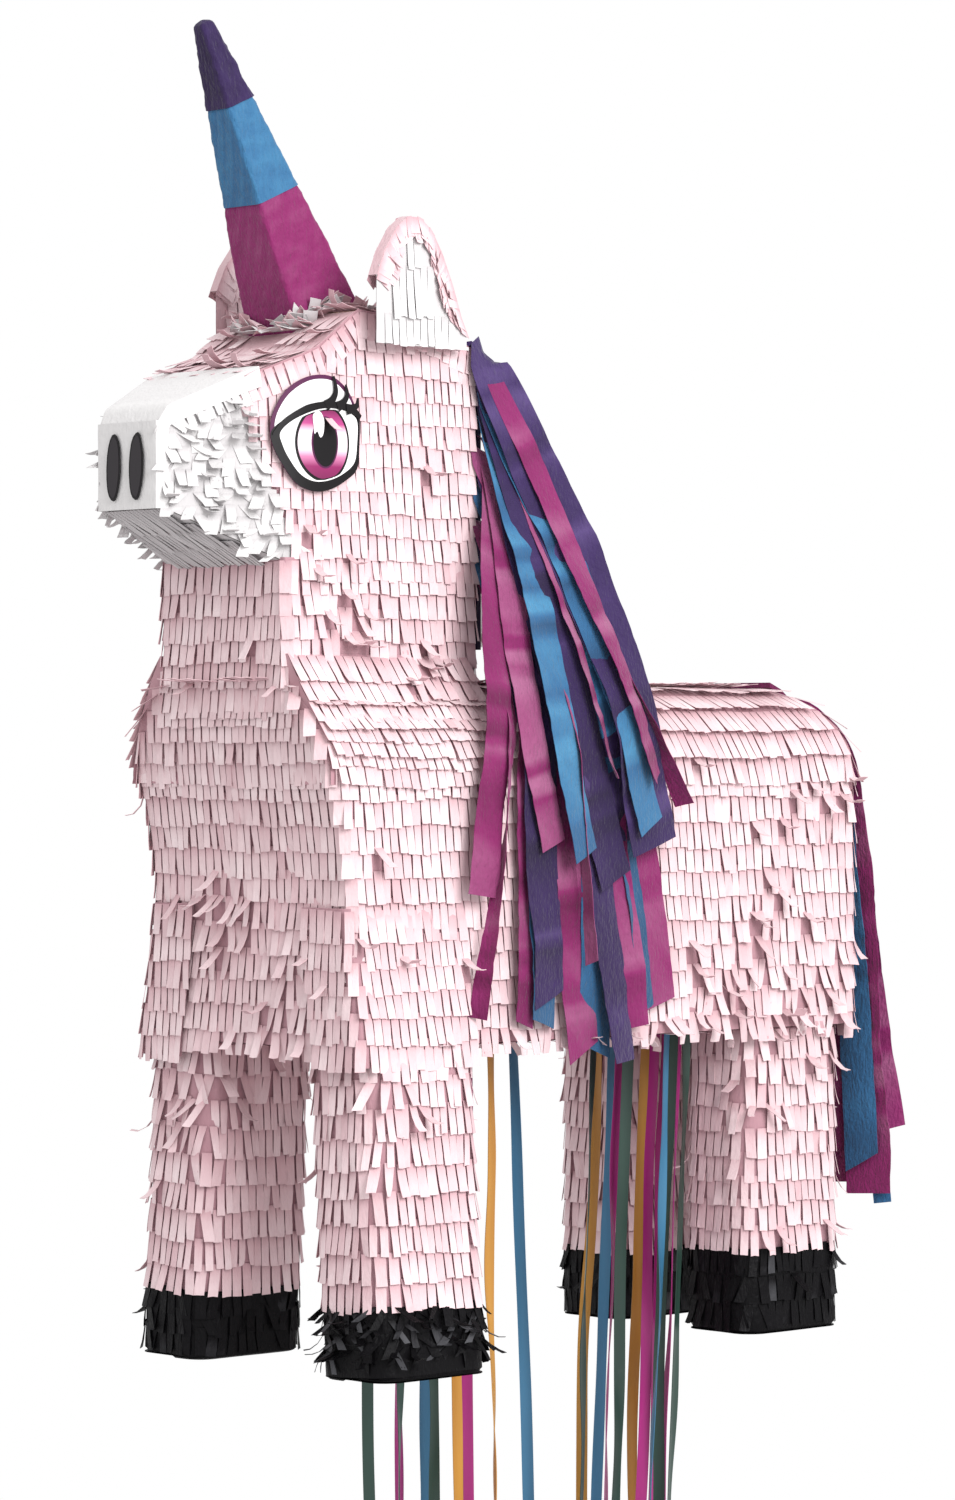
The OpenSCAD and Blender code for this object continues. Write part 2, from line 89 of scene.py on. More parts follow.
def make_camera():
    data = bpy.data.cameras.new("camera")
    data.lens, data.sensor_width = 120, 36
    data.clip_start, data.clip_end = 0.05, 50
    camera = bpy.data.objects.new("camera", data)
    bpy.context.scene.collection.objects.link(camera)
    spot = (
        CAMERA_DISTANCE * math.sin(CAMERA_TURN),
        -CAMERA_DISTANCE * math.cos(CAMERA_TURN),
        CAMERA_HEIGHT,
    )
    camera.location = row(spot)
    camera.rotation_euler = (math.pi / 2, 0, CAMERA_TURN)
    bpy.context.scene.camera = camera


make_camera()


# ---- mesh helpers
def add_piece(name, mesh, material, body, smooth):
    """Makes a mesh a piece that rides on a body, smooth below an edge angle in degrees."""
    mesh.materials.append(material)
    mesh.shade_smooth()
    mesh.set_sharp_from_angle(angle=math.radians(smooth))
    piece = bpy.data.objects.new(name, mesh)
    bpy.context.scene.collection.objects.link(piece)
    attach(piece, body)
    return piece


def add_quads(name, points, faces, material, body="pinata", smooth=40):
    """Makes a piece from arrays of standing points and quads."""
    mesh = bpy.data.meshes.new(name)
    mesh.vertices.add(len(points))
    mesh.vertices.foreach_set("co", row(points).astype(np.float32).ravel())
    mesh.loops.add(faces.size)
    mesh.loops.foreach_set("vertex_index", faces.astype(np.int32).ravel())
    mesh.polygons.add(len(faces))
    mesh.polygons.foreach_set("loop_start", np.arange(0, faces.size, 4, dtype=np.int32))
    mesh.update(calc_edges=True)
    return add_piece(name, mesh, material, body, smooth)


def store_tone(piece, values):
    """Stores one number per vertex for the material to read."""
    layer = piece.data.attributes.new("tone", "FLOAT", "POINT")
    layer.data.foreach_set("value", np.asarray(values, np.float32).ravel())


def grid_faces(n, m, start=0, closed=False):
    """Quads of an n by m grid of points; closed joins the last column to the first."""
    faces = []
    for i in range(n - 1):
        for j in range(m if closed else m - 1):
            k = (j + 1) % m
            faces.append((
                start + i * m + j, start + i * m + k,
                start + (i + 1) * m + k, start + (i + 1) * m + j,
            ))
    return faces


def sheet_faces(n, m, start=0, closed=False):
    """Quads of a thin solid sheet: an n by m grid of points, as many behind it, and the edges."""
    size = n * m
    front = np.array(grid_faces(n, m, start, closed))
    j, i = np.arange(m if closed else m - 1), np.arange(n - 1) * m
    after, end = (j + 1) % m, size - m
    sides = [(j, after), (after + end, j + end)]
    if not closed:
        sides += [(i + m - 1, i + 2 * m - 1), (i + m, i)]
    edges = [np.stack([b + size, a + size, a, b], 1) + start for a, b in sides]
    return np.concatenate([front[:, ::-1], front + size, *edges])


def two_layers(top, low):
    return np.concatenate([top.reshape(-1, 3), low.reshape(-1, 3)])


def unit(v):
    return v / np.maximum(np.linalg.norm(v, axis=-1, keepdims=True), 1e-9)


def distances(points):
    """The distance along a line of points at each of them."""
    return np.concatenate([[0], np.cumsum(np.linalg.norm(np.diff(points, axis=0), axis=1))])


def spline(points, steps, closed=False):
    """A Catmull-Rom curve through points, at steps counted in points from the first."""
    points, k = np.array(points, float), len(points)
    i = np.minimum(steps.astype(int), k - 1 if closed else k - 2)
    t = (steps - i)[:, None]
    p0, p1, p2, p3 = (points[(i + j) % k if closed else np.clip(i + j, 0, k - 1)] for j in (-1, 0, 1, 2))
    return 0.5 * (2 * p1 + (p2 - p0) * t + (2 * p0 - 5 * p1 + 4 * p2 - p3) * t ** 2
                  + (3 * p1 - p0 - 3 * p2 + p3) * t ** 3)


class Profile:
    """A line of (a, b) points, read by the distance along it."""

    def __init__(self, points):
        self.points = np.array(points, float)
        self.at = distances(self.points)
        self.length = self.at[-1]

    def __call__(self, v):
        return np.interp(v, self.at, self.points[:, 0]), np.interp(v, self.at, self.points[:, 1])


def smooth_noise(t, seed, octaves=3):
    """A smooth wandering value in about -1..1 for an array of positions."""
    local = np.random.default_rng(abs(int(seed)))
    total = np.zeros_like(np.asarray(t, float))
    for k in range(octaves):
        phase, speed = local.uniform(0, 2 * np.pi), local.uniform(0.7, 1.3) * 2 ** k
        total = total + np.sin(t * speed + phase) / 1.6 ** k
    return total / 1.8


# ---- materials
SOCKETS = {"roughness": "Roughness", "gloss": "Specular IOR Level", "sheen": "Sheen Weight", "brush": "Anisotropic"}


def new_material(name, **settings):
    """A material, its node tree, and its shader with the sockets named in settings set."""
    material = bpy.data.materials.new(name)
    material.use_nodes = True
    shader = material.node_tree.nodes["Principled BSDF"]
    for setting, value in settings.items():
        shader.inputs[SOCKETS[setting]].default_value = value
    return material, material.node_tree, shader


def link(tree, a, b):
    tree.links.new(a, b)


def plug(tree, socket, value):
    """Links a socket to another, or sets it to a constant."""
    if isinstance(value, bpy.types.NodeSocket):
        link(tree, value, socket)
    else:
        socket.default_value = (*value, 1) if socket.type == "RGBA" else value


def noise(tree, scale, detail, stretch=(1, 1, 1)):
    """Noise in object space, stretched by a mapping."""
    where = tree.nodes.new("ShaderNodeTexCoord")
    mapping = tree.nodes.new("ShaderNodeMapping")
    mapping.inputs["Scale"].default_value = stretch
    texture = tree.nodes.new("ShaderNodeTexNoise")
    texture.inputs["Scale"].default_value = scale
    texture.inputs["Detail"].default_value = detail
    link(tree, where.outputs["Object"], mapping.inputs["Vector"])
    link(tree, mapping.outputs["Vector"], texture.inputs["Vector"])
    return texture.outputs["Fac"]


def ramp(tree, value, stops):
    node = tree.nodes.new("ShaderNodeValToRGB")
    elements = node.color_ramp.elements
    while len(elements) < len(stops):
        elements.new(0.5)
    for element, (place, colour) in zip(elements, stops):
        element.position = place
        element.color = (*colour, 1)
    link(tree, value, node.inputs["Fac"])
    return node.outputs["Color"]


def mix(tree, factor, a, b):
    """Mixes two colours; each of factor, a and b is a socket or a constant."""
    node = tree.nodes.new("ShaderNodeMix")
    node.data_type = "RGBA"
    for index, value in ((0, factor), (6, a), (7, b)):
        plug(tree, node.inputs[index], value)
    return node.outputs[2]


def maths(tree, how, *values):
    node = tree.nodes.new("ShaderNodeMath")
    node.operation = how
    for socket, value in zip(node.inputs, values):
        plug(tree, socket, value)
    return node.outputs[0]


def tone_of(tree):
    node = tree.nodes.new("ShaderNodeAttribute")
    node.attribute_name = "tone"
    return node.outputs["Fac"]


def bump(tree, shader, height, distance, strength=1.0):
    node = tree.nodes.new("ShaderNodeBump")
    node.inputs["Strength"].default_value = strength
    node.inputs["Distance"].default_value = distance
    link(tree, height, node.inputs["Height"])
    link(tree, node.outputs["Normal"], shader.inputs["Normal"])


def crepe_material(name, deep, middle, light, roughness=0.85, crinkle=0.00025, sheen=0.15,
                   gloss=0.25, grain=0.12):
    """Crepe paper: fine crinkles, and a tone per tab that carries painted shade, deepening towards the tab's root under
    the row above.
    """
    material, tree, shader = new_material(name, sheen=sheen, gloss=gloss)
    tone = ramp(tree, tone_of(tree), [(0, deep), (0.5, middle), (1, light)])
    fibre = noise(tree, 900, 2, (1, 1, 0.35))
    blotch = noise(tree, 60, 2)
    spotted = mix(tree, maths(tree, "MULTIPLY", blotch, 0.35), tone, middle)
    colour = mix(tree, maths(tree, "MULTIPLY", fibre, grain), spotted, deep)
    link(tree, colour, shader.inputs["Base Color"])
    wrinkle = maths(tree, "ADD", fibre, maths(tree, "MULTIPLY", noise(tree, 260, 3), 1.5))
    bump(tree, shader, wrinkle, crinkle)
    link(tree, maths(tree, "MULTIPLY_ADD", fibre, 0.1, roughness - 0.05), shader.inputs["Roughness"])
    return material


PINK = crepe_material("crepe_pink", (0.26, 0.09, 0.13), (0.61, 0.40, 0.43), (0.84, 0.71, 0.725))
WHITE = crepe_material("crepe_white", (0.28, 0.26, 0.27), (0.56, 0.54, 0.545), (0.77, 0.76, 0.755))
# Its lightest colour is for painted glints: the few hoof tabs given a high tone.
BLACK = crepe_material("crepe_black", (0.0006, 0.0006, 0.0008), (0.0035, 0.003, 0.004), (0.10, 0.10, 0.11),
                       0.5, 0.0004, 0.0, 0.1)
PURPLE = crepe_material("tissue_purple", (0.009, 0.003, 0.024), (0.034, 0.014, 0.088), (0.115, 0.070, 0.22),
                        0.75, 0.0007, grain=0.4)
BLUE = crepe_material("tissue_blue", (0.010, 0.040, 0.10), (0.026, 0.12, 0.26), (0.07, 0.26, 0.44),
                      0.75, 0.0007, grain=0.35)
MAGENTA = crepe_material("tissue_magenta", (0.10, 0.002, 0.045), (0.22, 0.014, 0.11), (0.38, 0.13, 0.25),
                         0.75, 0.0007, grain=0.35)
TISSUE = {"purple": PURPLE, "blue": BLUE, "magenta": MAGENTA}


# ---- surfaces to fringe
def frames_of(point, u, v, du, dv=0.6):
    """Points and unit across, down and outward directions of a surface at u, v."""
    p = point(u, v)
    across = unit(point(u + du, v) - point(u - du, v))
    down = unit(point(u, v + dv) - point(u, v - dv))
    out = unit(np.cross(down, across))
    return p, across, unit(np.cross(across, out)), out


def loop_point(section):
    """A surface of rounded rectangles: u counts eight stretches round the loop, v picks the section."""
    def point(u, v):
        u, v = np.broadcast_arrays(np.asarray(u, float) % 8, np.asarray(v, float))
        x0, x1, y0, y1, r, z = (np.broadcast_to(s, v.shape) for s in section(v))
        k = np.floor(u).astype(int)
        f = u - k
        wide, deep = f * (x1 - x0 - 2 * r), f * (y1 - y0 - 2 * r)
        c, s = r * np.cos(f * np.pi / 2), r * np.sin(f * np.pi / 2)
        x = np.choose(k, [x1, x1 - r + c, x1 - r - wide, x0 + r - s, x0, x0 + r - c, x0 + r + wide, x1 - r + s])
        y = np.choose(k, [y0 + r + deep, y1 - r + s, y1, y1 - r + c, y1 - r - deep, y0 + r - s, y0, y0 + r - c])
        return np.stack([x, y, z], -1)
    return point


def loop_spans(section):
    """The stretches of a rounded rectangle, with their lengths in mm. At tight corners the sides
    run on a little and the corner strip is wider, so that no bare stripe shows between them."""
    def spans(v):
        x0, x1, y0, y1, r, _ = (float(part) for part in section(v))
        wide, deep, arc = max(x1 - x0 - 2 * r, 0), max(y1 - y0 - 2 * r, 0), r * np.pi / 2
        sizes = (deep, arc, wide, arc, deep, arc, wide, arc)
        if r > 4:
            return [(k, k + 1, size) for k, size in enumerate(sizes)]
        grown = []
        for k, size in enumerate(sizes):
            reach = 1.0 if k % 2 == 0 and size > 4 else 0.0
            share = reach / max(size, 1)
            grown.append((k - share, k + 1 + share, size * (1.5 if k % 2 else 1) + 2 * reach))
        return grown
    return spans


def squared(section):
    """A surface on the same section with nearly square corners, as the card has."""
    def square(v):
        x0, x1, y0, y1, r, z = section(v)
        return x0, x1, y0, y1, np.minimum(r, 0.8), z
    return loop_point(square)


def span(a, b):
    """One stretch of a row, with its length."""
    return [(a, b, abs(b - a))]


def level(z):
    """A flat surface at a height, with u to the left and v to the rear."""
    return lambda u, v: xyz(u, v, z)


def in_outline(a, b, outline, grow=0.0):
    """Even-odd test of points against an outline, grown away from its middle."""
    outline = np.asarray(outline, float)
    middle = outline.mean(0)
    off = np.stack([np.asarray(a, float), np.asarray(b, float)], -1) - middle
    far = np.linalg.norm(off, axis=-1, keepdims=True)
    q = middle + off * (1 - grow / np.maximum(far, 1e-6))
    inside = np.zeros(q.shape[:-1], bool)
    for (a0, b0), (a1, b1) in zip(outline, np.roll(outline, -1, 0)):
        crosses = (b0 > q[..., 1]) != (b1 > q[..., 1])
        at = a0 + (q[..., 1] - b0) * (a1 - a0) / (b1 - b0 if b1 != b0 else 1e-9)
        inside ^= crosses & (q[..., 0] < at)
    return inside


def near(p, spots):
    """Adds up soft round spots (x, y, z, radius, amount) at points."""
    total = np.zeros(p.shape[:-1])
    for x, y, z, radius, amount in spots:
        far = np.linalg.norm(p - (x, y, z), axis=-1)
        total = total + amount * np.exp(-(far / radius) ** 2)
    return total


class Tabs:
    """Collects paper tabs and makes them one mesh of thin closed strips. STEPS are shares of a tab's length."""
    ACROSS, ALONG = 3, 4
    STEPS = np.array([0.0, 0.42, 0.76, 1.0])
    THICK = 0.2

    def __init__(self, name, material, body="pinata"):
        self.name, self.material, self.body = name, material, body
        self.points, self.tones, self.skins = [], [], []

    def add(self, p, across, down, out, width, length, lift, curl, skew, sway, tone, root):
        """Each argument is an array over tabs; lift and curl are angles in radians off the surface."""
        n, steps, side = len(p), self.STEPS, np.linspace(-0.5, 0.5, self.ACROSS)
        p, across, down, out = (vectors[:, None, None] for vectors in (p, across, down, out))
        width, length, lift, curl, skew, sway, tone = (
            numbers[:, None] for numbers in (width, length, lift, curl, skew, sway, tone))
        angle = lift + curl * np.concatenate([[0], (steps[1:] + steps[:-1]) / 2]) ** 2
        reach = np.diff(steps, prepend=0) * length
        fall = np.cumsum(np.cos(angle) * reach, 1) * np.cos(skew)
        rise = root + np.cumsum(np.sin(angle) * reach, 1)
        roll = (sway * steps ** 1.5)[..., None]
        crown = rng.normal(0, 0.05, (n, self.ALONG, self.ACROSS)) * (0.3 + steps[:, None])
        along = fall[..., None] + rng.normal(0, 0.12, (n, 1, self.ACROSS)) * steps[:, None]
        wide = side * width[..., None] * (1 + 0.03 * rng.normal(0, 1, (n, self.ALONG, 1)))
        aside = wide * np.cos(roll) + (np.tan(skew) * fall)[..., None]
        off = rise[..., None] + wide * np.sin(roll) + crown
        front = p + aside[..., None] * across + along[..., None] * down + off[..., None] * out
        behind = np.sin(angle)[..., None, None] * down - np.cos(angle)[..., None, None] * out
        self.points.append(np.stack([front, front + self.THICK * behind], 1).reshape(n, -1, 3))
        # Painted shade: each tab is darker towards its root, where the row above shades it, and its back face is
        # painted darker still.
        shade = (tone * (0.5 + 0.5 * np.clip(steps * 1.7, 0, 1)))[..., None]
        shade = shade + rng.normal(0, 0.025, (n, self.ALONG, self.ACROSS))
        self.tones.append(np.stack([shade, shade * 0.55], 1).reshape(n, -1))

    def faces(self, n):
        starts = np.arange(n) * 2 * self.ALONG * self.ACROSS
        return (sheet_faces(self.ALONG, self.ACROSS) + starts[:, None, None]).reshape(-1, 4)

    # A low tone, as by default, paints the uncut backing dark: painted shade for the slits between the tabs.
    def skin(self, point, us, vs, keep=None, out=0.35, tone=0.2):
        """The uncut paper behind the tabs: a thin double layer over the surface. us and vs are arrays, or
        each a (first, last, count)."""
        us, vs = (np.linspace(*values) if isinstance(values, tuple) else values for values in (us, vs))
        u, v = np.meshgrid(us, vs)
        p, _, _, normal = frames_of(point, u, v, 0.3)
        top = p + normal * (out + 0.08 * smooth_noise(u * 2 + v * 0.3, 5)[..., None])
        quads = np.array(grid_faces(len(vs), len(us)))
        if keep is not None:
            quads = quads[keep(p.reshape(-1, 3)[quads].mean(1))]
        both = np.concatenate([quads[:, ::-1], quads + u.size])
        self.skins.append((two_layers(top, top - 0.25 * normal), both, tone))

    def make(self, *replaced):
        points = np.concatenate(self.points)
        faces, points = [self.faces(len(points))], points.reshape(-1, 3)
        tones = [np.concatenate(self.tones).ravel()]
        for extra, quads, tone in self.skins:
            faces.append(quads + len(points))
            points = np.concatenate([points, extra])
            tones.append(np.full(len(extra), tone))
        piece = add_quads(self.name, points, np.concatenate(faces), self.material, self.body)
        store_tone(piece, np.clip(np.concatenate(tones), 0, 1))
        if replaced:
            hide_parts(*replaced)


TAB_W, TAB_L, ROW_PITCH = 4.5, 13.5, 10.4
CALM = 0.012


def fringe(tabs, point, rows_v, spans, keep=None, wild=0.0, seed=0, pitch=TAB_W, length=TAB_L, tone=0.82,
           lift=0.11, root=0.9, wave=0.9, stray=1.0, scatter=0.3):
    """Lays rows of tabs on a surface. spans, which may be a function of v, has the stretches (u start, u end, mm);
    keep(points) picks the tabs that stay; wild, a number or a function of points, says how ruffled they are,
    with no stray tabs up to CALM; tone and lift may be functions of points too; stray and scatter are shares."""
    for number, v in enumerate(rows_v):
        row_pitch = pitch * rng.uniform(0.85, 1.2)
        for u0, u1, size in spans(v) if callable(spans) else spans:
            if size < 1.5:
                continue
            count = max(int(round(size / row_pitch)), 1)
            edges = np.linspace(u0, u1, count + 1)
            u = (edges[1:] + edges[:-1]) / 2
            mm = u / (u1 - u0) * size
            key = seed * 977 + number * 31 + int(u0 * 7)
            vv = v + wave * smooth_noise(mm / 25, key + 1)
            p, across, down, out = frames_of(point, u, vv, 0.5 * (u1 - u0) / count)
            n = len(u)
            base = wild(p) if callable(wild) else wild
            free = np.asarray(base) > CALM
            ruffle = np.clip(base + 0.06 * free * smooth_noise(mm / 12, key + 2), 0, 1)
            bend = smooth_noise(mm / 9, key)
            lifts = (lift(p) if callable(lift) else lift) + 0.02 * bend + rng.normal(0, 0.012 + 0.22 * ruffle, n)
            curls = rng.normal(0, 0.04 + 0.5 * ruffle, n)
            loose = (rng.random(n) < stray * (0.01 + 0.4 * ruffle)) & free
            lifts = np.where(loose, lifts + rng.uniform(0.1, 0.8, n), lifts)
            curls = np.where(loose, curls + rng.uniform(0.1, 1.7, n), curls)
            lifts = np.clip(lifts, 0.06, 1.5)
            skews = rng.normal(0, 0.012 + scatter * ruffle, n) + 0.03 * smooth_noise(mm / 16, key + 3)
            skews = np.clip(skews, -1.0, 1.0)
            sways = 0.05 + rng.normal(0, 0.045 + 0.6 * ruffle, n)
            widths = size / count * rng.uniform(0.80, 0.90, n)
            lengths = length * rng.uniform(0.95, 1.04, n) * (1 + 0.03 * bend)
            shade = tone(p) if callable(tone) else tone
            tones = np.clip(shade + 0.10 * smooth_noise(mm / 13, key + 4) + rng.normal(0, 0.07, n), 0.05, 1)
            use = np.ones(n, bool) if keep is None else keep(p)
            if use.any():
                each = (p, across, down, out, widths, lengths, lifts, curls, skews, sways, tones)
                tabs.add(*(values[use] for values in each), root)


# ---- torso
RIDGE = BODY_X - BACK_R
CHEST_LEAN, LEAN_Z, LEAN_RISE = 14.5, 195, 86
SHARP_R = 2.5
TORSO_END = RIDGE + BACK_R * math.pi / 2
WALL = ARCH_Z - BELLY_Z
FLAP = (-23, 23, 40, 90)
DOOR = (-32, 32, -10, 48)
RUFFLES = [
    (-16, -130, 192, 17, 0.5), (20, -130, 182, 14, 0.35), (42, -112, 316, 16, 0.6), (42, -70, 296, 14, 0.35),
    (62, 30, 145, 26, 0.5), (62, 110, 190, 16, 0.35), (62, 165, 175, 14, 0.5), (62, 160, 240, 18, 0.45),
    (-62, -60, 170, 20, 0.5), (-62, 80, 210, 22, 0.4), (0, 170, 200, 24, 0.4), (20, -128, 140, 16, 0.4),
    (62, 55, 138, 30, 1.0), (62, 104, 157, 15, 0.6), (62, 134, 146, 18, 0.7),
]


def within(p, rect, grow=0.0):
    x0, x1, y0, y1 = rect
    return (p[..., 0] > x0 - grow) & (p[..., 0] < x1 + grow) & (p[..., 1] > y0 - grow) & (p[..., 1] < y1 + grow)


def chest_front(z):
    """The chest's face, which leans forward into the neck."""
    s = np.clip((z - LEAN_Z) / LEAN_RISE, 0, 1)
    return CHEST_Y - CHEST_LEAN * s * s * (3 - 2 * s)


def torso_section(v):
    """Section of the torso at a distance v from the middle of the back, over the arch and down."""
    v = np.asarray(v, float)
    phi = np.clip((v - RIDGE) / BACK_R, 0, np.pi / 2)
    half = np.maximum(np.minimum(v, RIDGE) + BACK_R * np.sin(phi), 0.6)
    z = ARCH_Z + BACK_R * np.cos(phi) - np.maximum(v - TORSO_END, 0)
    return -half, half, chest_front(z), RUMP_Y - BODY_X + half, np.minimum(SHARP_R, half - 0.3), z


def torso_keep(p):
    """Leaves out the neck's foot and the filling flap."""
    behind = p[..., 1] > chest_front(p[..., 2]) + 2
    neck = (np.abs(p[..., 0]) < HEAD_X + 0.5) & (p[..., 1] < NAPE_Y + 0.5) & (p[..., 2] > ARCH_Z - 3) & behind
    return ~neck & ~(within(p, FLAP, 0.3) & (p[..., 2] > 270))


def torso_wild(p):
    """How ruffled the torso is: most at its hem, and calm on the back and under the mane and tail."""
    x, y, z = p[..., 0], p[..., 1], p[..., 2]
    hem = 0.5 * np.clip((150 - z) / 14, 0, 1) * np.where(y < -100, abs(x) < 34, 1)
    under_mane = (x > 40) & (y > -86) & (y < 66) & (z > 146) & (z < 276)
    under_tail = (y > 140) & (abs(x - 22) < 38)
    return (0.03 + hem + near(p, RUFFLES) * (z < 262)) * np.where(under_mane | under_tail | (z > 266), 0.1, 1.0)


def make_torso():
    """The rows round the torso, one piece a side."""
    point, spans = loop_point(torso_section), loop_spans(torso_section)
    upper = np.arange(3, TORSO_END - 2, ROW_PITCH)
    lower = np.linspace(TORSO_END - 1, TORSO_END + WALL - 8, 11)
    skin_v = np.concatenate([np.linspace(1.5, TORSO_END, 14), np.linspace(TORSO_END + 8, TORSO_END + WALL, 10)])
    left, right = Tabs("fringe_torso_left", PINK), Tabs("fringe_torso_right", PINK)
    for tabs, side in ((left, 1), (right, -1)):
        def keep(p, side=side):
            return torso_keep(p) & (p[..., 0] * side >= 0)
        for seed, rows_v in ((1, upper), (2, lower)):
            fringe(tabs, point, rows_v, spans, keep, torso_wild, seed)
        tabs.skin(squared(torso_section), (0, 8, 129), skin_v, keep)
        tabs.make("fringe_body")


make_torso()


def make_flap():
    """The tabs on the filling flap, which swing with it."""
    tabs = Tabs("fringe_fill_flap", PINK, "fill_flap")
    x0, x1, y0, y1 = FLAP
    point = level(BACK_Z)
    fringe(tabs, point, np.arange(y0 + 1.5, y1 - 12, 9), span(x1 - 1, x0 + 1), None, 0.3, 3, length=11)
    tabs.skin(point, (x1 - 0.5, x0 + 0.5, 8), (y0 + 0.5, y1 - 0.5, 8))
    tabs.make("fringe_flap")


make_flap()


# ---- neck and head
CHIN_Z, SHOULDER_Z, NAPE_TOP, TOP_Z = 331, 293, 420, 436


def front_y(z):
    """The face of the neck, which leans back into the chin."""
    return np.interp(z, [240, 281, CHIN_Z], [-132, -141.5, -142.5])


def neck_section(v):
    """Section of the neck box at a depth v below the chin."""
    z = CHIN_Z - np.asarray(v, float)
    return -HEAD_X, HEAD_X, front_y(z), NAPE_Y, SHARP_R, z


def ruffled(p):
    """How ruffled the neck and shoulders are."""
    return 0.04 + near(p, RUFFLES)


def make_neck():
    """The rows round the neck, up to the chin."""
    tabs = Tabs("fringe_neck_rows", PINK)
    point, spans = loop_point(neck_section), loop_spans(neck_section)
    fringe(tabs, point, np.arange(0, 54, 9.6), spans, lambda p: p[..., 2] > BACK_Z - 4, ruffled, 5)
    tabs.skin(squared(neck_section), (0, 8, 97), (-1, 56, 8))
    tabs.make("fringe_neck")


make_neck()

BRIDGE = Profile([(39.5, SHOULDER_Z), (49, 277), (58, 262), (62.4, 247), (62.4, 240)])
BRIDGE_REAR = NAPE_Y - 6


def bridge_front(z, top):
    return np.interp(z, [246, 281, SHOULDER_Z], [chest_front(246.0), chest_front(281.0), top])


def make_bridge(side):
    """Rows that carry on from the neck's side over the shoulder to the torso's side."""
    tabs = Tabs("fringe_shoulder_" + SIDE_NAME[side], PINK)

    def point(u, v):
        x, z = BRIDGE(v)
        return xyz(side * x, side * u, z)

    def spans(v):
        return span(*sorted((side * (bridge_front(BRIDGE(v)[1], -141.5) - 1.5), side * BRIDGE_REAR)))

    fringe(tabs, point, np.arange(1, 44, 9.6), spans, None, ruffled, 17, lift=0.14)
    tabs.skin(point, (*sorted((side * -139, side * BRIDGE_REAR)), 40), (0, BRIDGE.length, 14))

    def cap(u, v):
        """The end of the shoulder, between the neck and the bridge, facing forwards."""
        return xyz(u, bridge_front(SHOULDER_Z - v, -141.9), SHOULDER_Z - v)

    def reach(v):
        """How far out the bridge is at a depth below the shoulder's top."""
        return np.interp(SHOULDER_Z - v, BRIDGE.points[::-1, 1], BRIDGE.points[::-1, 0])

    def cap_sheet(u, v):
        share = u if side > 0 else 1 - u
        return cap(side * (34 + share * (reach(v) - 33)), v)

    tabs.skin(cap_sheet, (0, 1, 10), (0, 53, 14), out=0.9)
    fringe(tabs, cap, np.arange(2, 44, 9.6), lambda v: span(*sorted((side * 34, side * (reach(v) + 0.6)))),
           None, 0.03, 18, pitch=5, length=13, lift=0.1, root=0.6)
    tabs.make("fringe_body")


for side in SIDE_NAME:
    make_bridge(side)

JAW = np.array([(NOSE_Y, 352), (-142, CHIN_Z)], float)
TAPER_SLOPE = (HEAD_X - NOSE_X) / (TAPER_Y - NOSE_Y)
TAPER_L = math.hypot(HEAD_X - NOSE_X, TAPER_Y - NOSE_Y)
CHEEK_L = TAPER_L + NAPE_Y - TAPER_Y


def half_width(y):
    """Half the width of the head, which tapers to the nose."""
    return HEAD_X - np.maximum(TAPER_Y - np.asarray(y, float), 0) * TAPER_SLOPE


def cheek(side):
    """The cheek as a surface: u runs along it in mm, nose to nape on the left, and v is the height below
    the top of the head."""
    def point(u, v):
        s = u if side > 0 else CHEEK_L - u
        y = np.where(s < TAPER_L, NOSE_Y + s * (TAPER_Y - NOSE_Y) / TAPER_L, TAPER_Y + s - TAPER_L)
        return xyz(side * half_width(y), y, TOP_Z - v)
    return point


def cheek_skin(side):
    """The cheek again, with v from 0 on its upper edge to 1 on its lower one."""
    flat = cheek(side)
    top = HEAD_SIDE[8:1:-1]
    low = np.array([*JAW, (-137, 327), (NAPE_Y, 327)])

    def point(u, v):
        y = flat(u, v)[..., 1]
        high, foot = np.interp(y, top[:, 0], top[:, 1]), np.interp(y, low[:, 0], low[:, 1])
        return flat(u, TOP_Z - (high + (foot - high) * v))
    return point


def white_share(p):
    """How white the paper is: 1 on the muzzle, 0 on the pink head."""
    y, z = p[..., 1], p[..., 2]
    return np.clip((-144 - 0.35 * (z - 360) - y) / 10 + 0.5, 0, 1)


